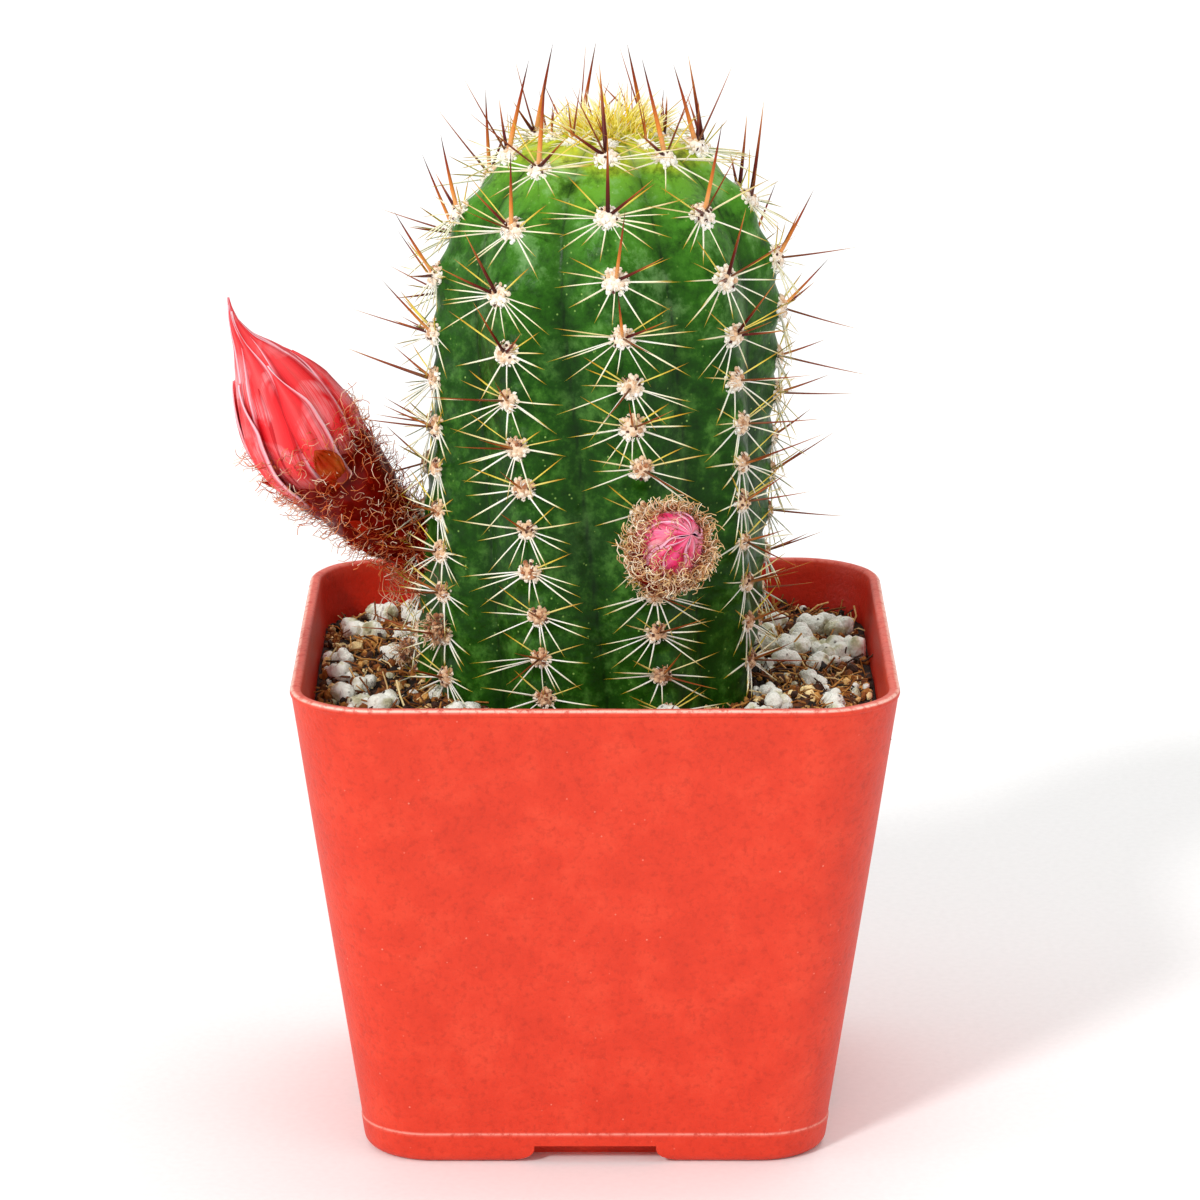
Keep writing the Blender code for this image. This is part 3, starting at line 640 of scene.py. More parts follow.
def axis_x(z):
    """Where the leaning stem's axis is at a height."""
    return POT_X + LEAN_AT_SOIL + LEAN * (z - SOIL_LEVEL)


def outline(run):
    """Radius and height on the stem's outline, at a distance from its top."""
    if run < DOME_RUN:
        turn = run / DOME_RUN * math.pi / 2.0
        return STEM_RADIUS * math.sin(turn), SHOULDER_HEIGHT + DOME_HEIGHT * math.cos(turn)
    if run < COLUMN_RUN:
        return STEM_RADIUS, SHOULDER_HEIGHT - (run - DOME_RUN)
    turn = (run - COLUMN_RUN) / (STEM_RUN - COLUMN_RUN) * math.pi / 2.0
    return STEM_RADIUS * math.cos(turn), NECK_TOP - NECK_DEPTH * math.sin(turn)


def crest_point(rib, run, aside=0.0):
    """A point on a rib's crest, or some radians beside it, with the outward and upward directions there."""
    step = 0.5 * MM
    radius, z = outline(run)
    radius_above, z_above = outline(run - step)
    azimuth = FIRST_RIB + rib * math.tau / RIB_COUNT + TWIST * (TWIST_HEIGHT - z) + aside
    away = Vector((math.sin(azimuth), -math.cos(azimuth), 0.0))
    point = away * radius + Vector((axis_x(z), 0.0, z))
    up = (away * (radius_above - radius) + Vector((0.0, 0.0, z_above - z))).normalized()
    side = UP.cross(away).normalized()
    outward = side.cross(up)
    return point, outward.normalized(), up


def areole_runs(rib):
    """Distances from the top of a rib's areoles: wide apart on the dome, closer down the column."""
    run = FIRST_AREOLES[rib] * MM
    row = 0
    while outline(run)[1] > SOIL_LEVEL + 1.0 * MM:
        yield row, run
        run += (6.2 + 4.0 * math.exp(-((row / 2.3) ** 2))) * MM
        row += 1


def all_areoles():
    """Every areole of the column, as a place with its directions, its row and its age from 0 to 1."""
    found = []
    draw = random.Random(11)
    for rib in range(RIB_COUNT):
        for row, run in areole_runs(rib):
            run += draw.uniform(-0.35, 0.35) * MM
            point, outward, up = crest_point(rib, run, draw.uniform(-0.02, 0.02))
            age = smooth_step(10.0 * MM, 95.0 * MM, run)
            found.append({"place": point, "outward": outward, "up": up, "side": up.cross(outward), "row": row,
                          "age": age})
    return found


def make_rib_tree():
    """Presses the grooves between the ribs into a round column, winds them, leans it and swells the areoles."""
    tree, given, out = new_tree("rib_press", (
        ("Areoles", "Object", None), ("Rib count", "Float", 9.0), ("Rib depth", "Float", 0.09),
        ("Groove sharpness", "Float", 1.6), ("First rib", "Float", 0.0), ("Twist", "Float", 6.0),
        ("Twist height", "Float", 0.1), ("Lean", "Float", 0.0), ("Lean offset", "Float", 0.0),
        ("Areole swell", "Float", 0.0006), ("Areole reach", "Float", 0.004), ("Finish", "Material", None)))
    place = node(tree, "GeometryNodeInputPosition")
    x, y, z = node(tree, "ShaderNodeSeparateXYZ", {0: place}).outputs
    lump_noise = node(tree, "ShaderNodeTexNoise", {"Vector": place, "Scale": 70.0, "Detail": 2.0})
    lump = node(tree, "ShaderNodeMapRange", {"Value": lump_noise.outputs[0], "To Min": 0.992, "To Max": 1.008})
    values = {"x": x, "y": y, "z": z, "lump": lump}
    values.update({socket.name: socket for socket in given if socket.name})
    formula(tree, values, (
        # how far round the stem a point is from the nearest rib: 0 on its crest, 1 in the groove
        ("backwards", "MULTIPLY", "y", -1.0), ("azimuth", "ARCTAN2", "x", "backwards"),
        ("below", "SUBTRACT", "Twist height", "z"), ("wound", "MULTIPLY_ADD", "below", "Twist", "First rib"),
        ("from rib", "SUBTRACT", "azimuth", "wound"), ("turns", "DIVIDE", "from rib", math.tau),
        ("ribs", "MULTIPLY", "turns", "Rib count"), ("nearest", "ROUND", "ribs"),
        ("beside", "SUBTRACT", "ribs", "nearest"), ("apart", "ABSOLUTE", "beside"),
        ("share", "MULTIPLY", "apart", 2.0),
        # how much of its distance from the axis it keeps
        ("groove", "POWER", "share", "Groove sharpness"), ("pressed", "MULTIPLY", "groove", "Rib depth"),
        ("kept", "SUBTRACT", 1.0, "pressed"), ("grown", "MULTIPLY", "kept", "lump"),
        ("leaning", "MULTIPLY_ADD", "z", "Lean", "Lean offset"),
        ("new x", "MULTIPLY_ADD", "x", "grown", "leaning"), ("new y", "MULTIPLY", "y", "grown")))
    share = values["share"]
    moved = node(tree, "ShaderNodeCombineXYZ", {0: values["new x"], 1: values["new y"], 2: z})
    marked = node(tree, "GeometryNodeStoreNamedAttribute", {"Geometry": given["Geometry"], "Name": "groove",
                                                             "Value": share}, data_type="FLOAT", domain="POINT")
    ribbed = node(tree, "GeometryNodeSetPosition", {"Geometry": marked, "Position": moved})
    points = node(tree, "GeometryNodeObjectInfo", {"Object": given["Areoles"]})
    near = node(tree, "GeometryNodeProximity", {0: points.outputs["Geometry"]}, target_element="POINTS")
    fall = node(tree, "ShaderNodeMapRange", {"Value": near.outputs["Distance"], "From Min": 0.0,
                                             "From Max": given["Areole reach"], "To Min": 1.0, "To Max": 0.0},
                interpolation_type="SMOOTHSTEP")
    swell = node(tree, "ShaderNodeMath", {0: fall, 1: given["Areole swell"]}, operation="MULTIPLY")
    push = node(tree, "ShaderNodeVectorMath", {0: node(tree, "GeometryNodeInputNormal"), "Scale": swell},
                operation="SCALE")
    swollen = node(tree, "GeometryNodeSetPosition", {"Geometry": ribbed, "Offset": push})
    return end_tree(tree, given, out, node(tree, "GeometryNodeRealizeInstances", {"Geometry": swollen}))


def make_stem(areoles):
    """The column: a ball drawn out to the stem's outline, with its ribs pressed into it."""
    bm = bmesh.new()
    bmesh.ops.create_uvsphere(bm, u_segments=RIB_COUNT * 24, v_segments=220, radius=1.0)
    for vert in bm.verts:
        run = math.acos(held(vert.co.z, -1.0)) / math.pi * STEM_RUN
        radius, z = outline(run)
        flat = math.hypot(vert.co.x, vert.co.y)
        scale = radius / flat if flat > 1e-6 else 0.0
        vert.co = Vector((vert.co.x * scale, vert.co.y * scale, z))
    stem = add_mesh("round_column", bm, skin)
    cloud = point_cloud("areole_places", [{"place": a["place"]} for a in areoles])
    stem = run_tree(stem, make_rib_tree(), "ribbed_stem", {
        "Areoles": cloud, "Rib count": float(RIB_COUNT), "Rib depth": RIB_DEPTH,
        "Groove sharpness": GROOVE_SHARPNESS, "First rib": FIRST_RIB, "Twist": TWIST,
        "Twist height": TWIST_HEIGHT, "Lean": LEAN,
        "Lean offset": POT_X + LEAN_AT_SOIL - LEAN * SOIL_LEVEL, "Areole swell": 1.1 * MM,
        "Areole reach": 5.0 * MM, "Finish": skin})
    bpy.data.objects.remove(cloud)
    settle(stem, ["cactus_stem"])


# ------------------------------------------------------------------ spines, wool and hair

def make_needle_tree():
    """Puts a slender needle on every point, along its direction, with its length and thickness."""
    tree, given, out = new_tree("needles", (
        ("Sides", "Int", 5), ("Segments", "Int", 5), ("Point sharpness", "Float", 3.0), ("Bend", "Float", 0.03),
        ("Seed", "Int", 1), ("Finish", "Material", None)))
    rod = node(tree, "GeometryNodeMeshCylinder", {"Vertices": given["Sides"], "Side Segments": given["Segments"],
                                                  "Radius": 1.0, "Depth": 1.0}, fill_type="NGON")
    x, y, z = node(tree, "ShaderNodeSeparateXYZ", {0: node(tree, "GeometryNodeInputPosition")}).outputs
    values = {"x": x, "y": y, "z": z, "sharpness": given["Point sharpness"]}
    formula(tree, values, (
        ("along", "ADD", "z", 0.5), ("steep", "POWER", "along", "sharpness"), ("thin", "SUBTRACT", 1.02, "steep"),
        ("narrow x", "MULTIPLY", "x", "thin"), ("narrow y", "MULTIPLY", "y", "thin")))
    along = values["along"]
    shape = node(tree, "ShaderNodeCombineXYZ", {0: values["narrow x"], 1: values["narrow y"], 2: along})
    stored = node(tree, "GeometryNodeStoreNamedAttribute", {"Geometry": rod.outputs["Mesh"], "Name": "along",
                                                             "Value": along}, data_type="FLOAT", domain="POINT")
    tapered = node(tree, "GeometryNodeSetPosition", {"Geometry": stored, "Position": shape})
    length, thickness, here = [node(tree, "GeometryNodeInputNamedAttribute", {"Name": name}, data_type="FLOAT")
                               for name in ("length", "thickness", "along")]
    size = node(tree, "ShaderNodeCombineXYZ", {0: thickness, 1: thickness, 2: length})
    real = copies(tree, given, tapered, size)
    # the point is pushed by the bend, and the rest by less, with the square of its distance from the base
    bend_way = node(tree, "GeometryNodeInputNamedAttribute", {"Name": "bend"}, data_type="FLOAT_VECTOR")
    amount = formula(tree, {"here": here.outputs[0], "bend": given["Bend"]}, (
        ("reach", "POWER", "here", 2.0), ("amount", "MULTIPLY", "reach", "bend")))
    offset = node(tree, "ShaderNodeVectorMath", {0: bend_way, "Scale": amount}, operation="SCALE")
    return end_tree(tree, given, out, node(tree, "GeometryNodeSetPosition", {"Geometry": real, "Offset": offset}))


def make_curl_tree():
    """Puts a wiry curl on every point, along its direction."""
    tree, given, out = new_tree("curls", (
        ("Turns", "Float", 0.9), ("Start radius", "Float", 0.06), ("End radius", "Float", 0.22),
        ("Wire", "Float", 0.03), ("Steps", "Int", 7), ("Seed", "Int", 1), ("Finish", "Material", None)))
    spiral = node(tree, "GeometryNodeCurveSpiral", {"Resolution": given["Steps"], "Rotations": given["Turns"],
                                                    "Start Radius": given["Start radius"],
                                                    "End Radius": given["End radius"], "Height": 1.0})
    share = node(tree, "GeometryNodeSplineParameter").outputs["Factor"]
    stored = node(tree, "GeometryNodeStoreNamedAttribute", {"Geometry": spiral, "Name": "along", "Value": share},
                  data_type="FLOAT", domain="POINT")
    ring = node(tree, "GeometryNodeCurvePrimitiveCircle", {"Resolution": 3, "Radius": given["Wire"]})
    wire = node(tree, "GeometryNodeCurveToMesh", {"Curve": stored, "Profile Curve": ring.outputs["Curve"],
                                                  "Fill Caps": True})
    back = node(tree, "ShaderNodeMath", {0: given["Start radius"], 1: -1.0}, operation="MULTIPLY")
    centred = node(tree, "GeometryNodeTransform", {"Geometry": wire, "Translation": node(
        tree, "ShaderNodeCombineXYZ", {0: back})})
    length = node(tree, "GeometryNodeInputNamedAttribute", {"Name": "length"}, data_type="FLOAT")
    return end_tree(tree, given, out, copies(tree, given, centred, length))


def make_lump_tree():
    """Puts a rough lump on every point, stretched to its size and turned at random."""
    tree, given, out = new_tree("lumps", (
        ("Fineness", "Int", 1), ("Roughness", "Float", 0.0), ("Roughness scale", "Float", 400.0),
        ("Seed", "Int", 1), ("Finish", "Material", None)))
    ball = node(tree, "GeometryNodeMeshIcoSphere", {"Radius": 1.0, "Subdivisions": given["Fineness"]})
    size = node(tree, "GeometryNodeInputNamedAttribute", {"Name": "size"}, data_type="FLOAT_VECTOR")
    aim = node(tree, "FunctionNodeRandomValue", {"Min": (0.0, 0.0, 0.0), "Max": (math.tau,) * 3,
                                                 "Seed": given["Seed"]}, data_type="FLOAT_VECTOR")
    placed = node(tree, "GeometryNodeInstanceOnPoints", {"Points": given["Geometry"],
                                                         "Instance": ball.outputs["Mesh"], "Rotation": aim,
                                                         "Scale": size})
    real = node(tree, "GeometryNodeRealizeInstances", {"Geometry": placed})
    rough = node(tree, "ShaderNodeTexNoise", {"Vector": node(tree, "GeometryNodeInputPosition"),
                                              "Scale": given["Roughness scale"], "Detail": 2.0})
    centred = node(tree, "ShaderNodeMath", {0: rough.outputs[0], 1: 0.5}, operation="SUBTRACT")
    amount = node(tree, "ShaderNodeMath", {0: centred, 1: given["Roughness"]}, operation="MULTIPLY")
    push = node(tree, "ShaderNodeVectorMath", {0: node(tree, "GeometryNodeInputNormal"), "Scale": amount},
                operation="SCALE")
    return end_tree(tree, given, out, node(tree, "GeometryNodeSetPosition", {"Geometry": real, "Offset": push}))


needles = make_needle_tree()
curls = make_curl_tree()
lumps = make_lump_tree()


def needle(place, direction, bend, length, thickness, tint):
    """What a needle's point carries, from a length and a radius in millimetres."""
    return {"place": place, "direction": direction, "bend": bend, "length": length * MM,
            "thickness": thickness * MM, "tint": tint}


# Degrees round an areole, from its right side, where radial spines grow; none point straight up
RADIAL_PLACES = (34.0, 17.0, 2.0, -12.0, -26.0, -43.0, -65.0, -90.0, -115.0, -137.0, -154.0, -168.0, -182.0,
                 -197.0, -214.0)
RADIALS_MISSING = 0.24
OLDER_CENTRALS = 0.7
OUTWARD_CENTRALS = 0.75
STOUT_ROWS = 4
AREOLE_KNOBS = 34
AREOLE_HAIRS = 30
DARK_KNOBS = 0.18
CROWN_BRISTLES = 320
CROWN_RUN = 7.3 * MM
CROWN_KNOBS = 22
GOLDEN_ANGLE = math.radians(137.5)


def radial_spines(areoles):
    """Spines spread round each areole from upper right round below to upper left, long at the sides."""
    points = []
    draw = random.Random(3)
    for areole in areoles:
        outward, up, side = areole["outward"], areole["up"], areole["side"]
        youth = 1.0 - areole["age"]
        for place_degrees in RADIAL_PLACES:
            if draw.random() < RADIALS_MISSING:
                continue
            angle = math.radians(place_degrees + draw.uniform(-9.0, 9.0))
            upper = smooth_step(-0.05, 0.6, math.sin(angle))
            downward = max(0.0, -math.sin(angle)) ** 2
            length = (8.8 + 2.4 * youth - 3.6 * downward - 1.6 * upper) * draw.uniform(0.74, 1.16)
            raised = math.radians(draw.uniform(3.0, 26.0) + 8.0 * upper)
            flat = spoke(side, up, angle)
            golden = upper * 1.2 - 0.1 + 0.35 * youth
            bend = (up * draw.uniform(-1.0, 1.0) - outward).normalized()
            points.append(needle(areole["place"] + outward * 0.8 * MM + flat * 0.9 * MM,
                                 spoke(flat, outward, raised), bend, length, draw.uniform(0.095, 0.14),
                                 held(golden + draw.uniform(-0.15, 0.15))))
    return points


def central_spines(areoles):
    """Stout spines of the upper areoles, up the rib and aside. Older areoles keep a thin one or two."""
    points = []
    draw = random.Random(8)
    for areole in areoles:
        outward, up, side, row = areole["outward"], areole["up"], areole["side"], areole["row"]
        # a plan's numbers: how far aside, up the rib and outward, the length and radius in millimetres, the tint
        plans = []
        if row < STOUT_ROWS:
            plans.append((draw.uniform(-0.22, 0.22), 0.95, 0.9, 14.0 - 0.8 * row, 0.40 - 0.05 * row,
                          draw.choice((0.0, 0.0, 0.15, 1.0))))
            hand = draw.choice((-1.0, 1.0))
            plans.append((0.9 * hand, draw.uniform(-0.1, 0.8), 0.7, 9.5 - 0.4 * row, 0.30 - 0.02 * row, 1.0))
        elif draw.random() < OLDER_CENTRALS:
            plans.append((draw.uniform(-0.5, 0.5), draw.uniform(0.2, 0.9), 1.0, 8.0, 0.2, 0.5))
        if draw.random() < OUTWARD_CENTRALS:
            plans.append((draw.uniform(-0.7, 0.7), draw.uniform(-0.25, 0.5), 1.0, 14.0 if row < 7 else 11.0,
                          0.17, 0.85))
        for lean, rise, out, length, thick, tint in plans:
            points.append(needle(areole["place"] + outward * 1.1 * MM,
                                 (side * lean + up * rise + outward * out).normalized(), up,
                                 length * draw.uniform(0.85, 1.08), thick, tint))
    return points


def make_spines(areoles, replaced):
    """The column's radial and central spines."""
    grow(radial_spines(areoles), needles, "radial_spines",
         {"Sides": 4, "Segments": 4, "Point sharpness": 5.0, "Bend": 0.5 * MM, "Seed": 2, "Finish": ivory_horn})
    grow(central_spines(areoles), needles, "central_spines",
         {"Sides": 7, "Segments": 6, "Point sharpness": 1.5, "Bend": 0.4 * MM, "Seed": 4, "Finish": maroon_horn},
         replaced)


def make_wool(areoles):
    """Each areole's cushion: a felted dome of flat knobs, streaked with short hair, browner with age."""
    knobs, hairs = [], []
    draw = random.Random(21)
    for areole in areoles:
        outward, up, side, age = areole["outward"], areole["up"], areole["side"], areole["age"]
        radius = (2.25 - 0.5 * age) * MM * draw.uniform(0.92, 1.08)
        heart = areole["place"] + outward * 0.1 * MM
        knobs.append({"place": heart, "size": Vector((0.93,) * 3) * radius, "tint": 0.3 + 0.25 * age})
        for number in range(AREOLE_KNOBS):
            lift = 1.0 - (number + 0.5) / AREOLE_KNOBS
            ring = math.sqrt(1.0 - lift * lift)
            turn = number * GOLDEN_ANGLE + draw.uniform(-0.3, 0.3)
            aside = side * math.cos(turn) * ring + up * math.sin(turn) * ring
            knob = draw.uniform(0.34, 0.52) * MM
            brown = 0.3 * age + 0.26 * smooth_step(0.4, 0.95, lift) + 0.2 * math.sin(turn) * ring
            tint = held(draw.gauss(0.1 + brown, 0.1), high=0.85)
            if lift > 0.5 and draw.random() < DARK_KNOBS:
                tint, knob = 1.05, 0.3 * MM
            spot = (aside + outward * (0.04 + lift * 0.8)) * radius * draw.uniform(0.82, 0.92)
            knobs.append({"place": heart + spot,
                          "size": Vector((knob, knob * draw.uniform(0.6, 1.0), knob)), "tint": tint})
        for number in range(AREOLE_HAIRS):
            lift = draw.uniform(0.15, 0.95)
            ring = math.sqrt(1.0 - lift * lift)
            turn = draw.uniform(0.0, math.tau)
            flat = spoke(side, up, turn)
            away = flat * ring + outward * lift
            along = flat * lift - outward * ring
            brown = 0.3 * age + 0.25 * math.sin(turn)
            combed = (along + away * draw.uniform(0.0, 0.3) + side * draw.uniform(-0.3, 0.3)).normalized()
            hairs.append(needle(heart + away * radius * 0.95, combed, -away, draw.uniform(0.7, 1.2),
                                draw.uniform(0.07, 0.11), held(draw.gauss(0.08 + brown, 0.22), high=0.9)))
    grow(knobs, lumps, "areole_wool", {"Fineness": 1, "Roughness": 0.0, "Seed": 5, "Finish": wool})
    grow(hairs, needles, "areole_hair",
         {"Sides": 3, "Segments": 2, "Point sharpness": 2.0, "Bend": 0.3 * MM, "Seed": 16, "Finish": wool})


def make_crown():
    """The growing point: an upright lemon brush among young woolly areoles, with a few young maroon spines."""
    draw = random.Random(17)
    bristles, spines, rays, felt = [], [], [], []
    for number in range(CROWN_BRISTLES):
        run = CROWN_RUN * math.sqrt(draw.random())
        point, outward, up = crest_point(0, max(run, 0.6 * MM), draw.uniform(0.0, math.tau))
        side = up.cross(outward)
        lean = outward - up * draw.uniform(-0.5, 1.1) + side * draw.uniform(-0.8, 0.8)
        bristles.append(needle(point - outward * 0.3 * MM, lean.normalized(), -up,
                               draw.uniform(3.2, 9.0) * (1.1 - 0.5 * run / CROWN_RUN), draw.uniform(0.08, 0.15),
                               1.0 if draw.random() < 0.12 else draw.uniform(0.0, 0.3)))
    for rib in range(RIB_COUNT):
        point, outward, up = crest_point(rib, (8.2 + 0.7 * (rib % 2)) * MM)
        side = up.cross(outward)
        for number in range(CROWN_KNOBS):
            angle = number * GOLDEN_ANGLE
            ring = math.sqrt((number + 0.5) / CROWN_KNOBS)
            place = point + spoke(side, up, angle) * ring * 1.4 * MM
            knob = draw.uniform(0.25, 0.45) * MM
            felt.append({"place": place + outward * (1.0 - ring) * 0.8 * MM, "size": Vector((knob,) * 3),
                         "tint": max(0.0, draw.gauss(0.1, 0.1))})
        for number in range(12):
            flat = spoke(side, up, math.radians(30.0 * number + draw.uniform(-10.0, 10.0)))
            rays.append(needle(point + flat * 0.7 * MM, (flat + outward * 0.45).normalized(), -outward,
                               draw.uniform(3.2, 5.6), draw.uniform(0.08, 0.11), draw.choice((0.0, 0.0, 0.7))))
        for number in range(2):
            lean = side * draw.uniform(-0.5, 0.5) + up * draw.uniform(-0.2, 0.6) + outward
            spines.append(needle(point + outward * 0.4 * MM, lean.normalized(), up, draw.uniform(4.0, 8.5),
                                 draw.uniform(0.13, 0.2), draw.choice((0.3, 0.7, 1.0))))
    grow(bristles, needles, "crown_bristles",
         {"Sides": 4, "Segments": 4, "Point sharpness": 3.0, "Bend": 1.0 * MM, "Seed": 6, "Finish": straw_horn},
         ["crown_tuft"])
    grow(spines, needles, "young_spines",
         {"Sides": 6, "Segments": 5, "Point sharpness": 1.5, "Bend": 0.4 * MM, "Seed": 7, "Finish": maroon_horn})
    grow(rays, needles, "young_radial_spines",
         {"Sides": 4, "Segments": 4, "Point sharpness": 5.0, "Bend": 0.6 * MM, "Seed": 17, "Finish": ivory_horn})
    grow(felt, lumps, "crown_wool", {"Fineness": 1, "Roughness": 0.0, "Seed": 8, "Finish": wool})


# ------------------------------------------------------------------ flower buds

TUBE_STEPS, TUBE_SIDES, TUBE_KNOBS = 46, 48, 0.10
TEPAL_ROWS, TEPAL_COLUMNS = 60, 22
SCALE_ROWS = 6
WITHERED_KNOBS, WITHERED_HAIRS = 70, 80


def axis_frame(points, span, share):
    """Place, direction and two side directions on a smooth curve through points, at a share of a span of it."""
    spots = [Vector(p) for p in points]
    lengths = [0.0]
    for a, b in zip(spots, spots[1:]):
        lengths.append(lengths[-1] + (b - a).length)
    target = (span[0] + share * (span[1] - span[0])) * lengths[-1]
    place = min(sum(1 for length in lengths[1:-1] if length < target), len(spots) - 2)
    low, high = spots[place], spots[place + 1]
    before = spots[place - 1] if place else low * 2.0 - high
    after = spots[place + 2] if place + 2 < len(spots) else high * 2.0 - low
    t = (target - lengths[place]) / (lengths[place + 1] - lengths[place])
    a, b = (high - before) / 2.0, (after - low) / 2.0
    point = (low * (2 * t ** 3 - 3 * t ** 2 + 1) + a * (t ** 3 - 2 * t ** 2 + t)
             + high * (3 * t ** 2 - 2 * t ** 3) + b * (t ** 3 - t ** 2))
    direction = (low * (6 * t * t - 6 * t) + a * (3 * t * t - 4 * t + 1)
                 + high * (6 * t - 6 * t * t) + b * (3 * t * t - 2 * t)).normalized()
    side = direction.cross(Vector((0.0, 1.0, 0.0))).normalized()
    return point, direction, side, direction.cross(side)


def from_table(table, share):
    """The value at a share in a table of shares and values, straight from one row to the next."""
    for (low, first), (high, second) in zip(table, table[1:]):
        if share <= high:
            blend = held((share - low) / (high - low))
            return first + (second - first) * blend
    return table[-1][1]


def rounded_radius(table, reach):
    """A function that reads a table in millimetres, with its corners rounded off over a reach on each side."""
    def radius_at(share):
        near = [from_table(table, share + shift) for shift in (-reach, 0.0, reach)]
        return sum(near) / 3.0 * MM
    return radius_at


def make_tube(name, path, span, radii, finish, replaced):
    """A flower tube: a swelling tube along a curve, knobbly with the bases of its scales."""
    rings = []
    for step in range(TUBE_STEPS + 1):
        share = step / TUBE_STEPS
        place, direction, side, across = axis_frame(path, span, share)
        spot = share * (len(radii) - 1)
        low = min(int(spot), len(radii) - 2)
        blend = smooth_step(0.0, 1.0, spot - low)
        radius = (radii[low] * (1.0 - blend) + radii[low + 1] * blend) * MM
        ring = []
        for number in range(TUBE_SIDES):
            angle = number / TUBE_SIDES * math.tau
            knob = noise.noise(Vector((math.cos(angle) * 2.2, math.sin(angle) * 2.2, share * 7.0)))
            ring.append(place + spoke(side, across, angle) * radius * (1.0 + TUBE_KNOBS * knob))
        rings.append(ring)
    bm = bmesh.new()
    skin_rings(bm, rings)
    settle(add_mesh(name, bm, finish), replaced)


def make_tepals(name, path, span, radius_at, rings, twist, finish, replaced):
    """Overlapping tepals furled round a bud. A ring has a count, a lift, a start, a reach and a half width."""
    draw = random.Random(len(name))
    bm = bmesh.new()
    across_layer = bm.verts.layers.float.new("across")
    along_layer = bm.verts.layers.float.new("along")
    for ring, (number, scale, start, reach, width) in enumerate(rings):
        for tepal in range(number):
            azimuth = math.tau * (tepal + 0.5 * (ring % 2)) / number + draw.uniform(-0.22, 0.22)
            end = 1.0 if reach == 1.0 else reach * draw.uniform(0.9, 1.05)
            skew = draw.uniform(-0.25, 0.25)
            phase = draw.uniform(0.0, 6.0)
            keel, keel_place = draw.uniform(0.0, 0.035), draw.uniform(-0.4, 0.4)
            grid = []
            for row in range(TEPAL_ROWS + 1):
                along = row / TEPAL_ROWS
                share = start + along * (end - start)
                place, direction, side, beyond = axis_frame(path, span, share)
                base_width = width * (0.8 + 0.2 * smooth_step(0.0, 0.45, along))
                spread = base_width * (1.0 - smooth_step(0.62, 1.0, along) * (0.97 if reach < 0.98 else 0.55))
                line = []
                for column in range(TEPAL_COLUMNS + 1):
                    u = -1.0 + 2.0 * column / TEPAL_COLUMNS
                    turn = azimuth + u * spread + twist * share + skew * along
                    ridge = keel * math.exp(-(((u - keel_place) / 0.16) ** 2)) - 0.025 * u * u
                    crease = 0.022 * math.sin(5.0 * u + phase) + 0.011 * math.sin(11.0 * u - phase * 2.0)
                    wave = 0.014 * math.sin(8.0 * along + 2.5 * u + phase)
                    lift = scale + 0.05 * u + (ridge + crease + wave) * math.sin(math.pi * min(1.0, along + 0.08))
                    vert = bm.verts.new(place + spoke(side, beyond, turn) * radius_at(share) * lift)
                    vert[across_layer] = u
                    vert[along_layer] = along
                    line.append(vert)
                grid.append(line)
            skin_rows(bm, grid)
    settle(thicken(add_mesh(name, bm, finish), name, 0.25 * MM, -1.0), replaced)


def make_scales(name, path, span, radii, count, finish):
    """Small pointed rusty scales pressed on the flower tube, and one broad ribbed one at the flower's seat."""
    bm = bmesh.new()
    draw = random.Random(4)
    tint_layer = bm.verts.layers.float.new("tint")
    for number in range(count):
        seat = number == count - 1
        share = 0.88 if seat else (number + 0.7) / count
        angle = math.radians(101.0) if seat else number * GOLDEN_ANGLE
        place, direction, side, across = axis_frame(path, span, share)
        radius = (radii[0] + (radii[-1] - radii[0]) * share) * MM
        away = spoke(side, across, angle)
        beside = direction.cross(away)
        length = (5.8 if seat else (2.2 + 2.6 * share) * draw.uniform(0.85, 1.15)) * MM
        width = length * (0.36 if seat else 0.26)
        tint = 0.42 if seat else 0.12 + 0.22 * share + draw.uniform(-0.08, 0.08)
        columns = 24 if seat else 4
        ridge = 0.14 * MM if seat else 0.0
        raised = 1.2 * MM if seat else 0.25 * MM
        rows = []
        for row in range(SCALE_ROWS + 1):
            along = row / SCALE_ROWS
            half = width * math.sin(math.pi * (0.18 + 0.82 * along)) ** 0.8 * (1.0 if along < 1.0 else 0.05)
            lift = raised + length * 0.22 * along ** 1.8
            line = []
            for column in range(columns + 1):
                u = -1.0 + column / columns * 2.0
                bulge = ridge * math.cos(u * math.pi * 4.0) - 0.35 * half * u * u
                point = place + away * (radius * 1.01 + lift + bulge) + direction * along * length
                vert = bm.verts.new(point + beside * half * u)
                vert[tint_layer] = tint
                line.append(vert)
            rows.append(line)
        skin_rows(bm, rows)
    settle(thicken(add_mesh(name, bm, finish), name, 0.3 * MM, 0.0))


def hair_points(path, span, radius_at, count, lengths, draw, along_pull, pale):
    """Hair roots over a tube's skin, combed towards the flower by along_pull, with a share of pale ones."""
    points = []
    for number in range(count):
        share = draw.random()
        angle = draw.uniform(0.0, math.tau)
        place, direction, side, across = axis_frame(path, span, share)
        away = spoke(side, across, angle)
        around = direction.cross(away)
        comb = away * draw.uniform(0.1, 0.9) + direction * (along_pull + draw.uniform(-0.5, 0.5))
        comb += around * draw.uniform(-1.0, 1.0)
        points.append({"place": place + away * radius_at(share) * 0.97, "direction": comb.normalized(),
                       "length": draw.uniform(*lengths) * MM, "tint": 1.0 if draw.random() < pale else 0.0})
    return points


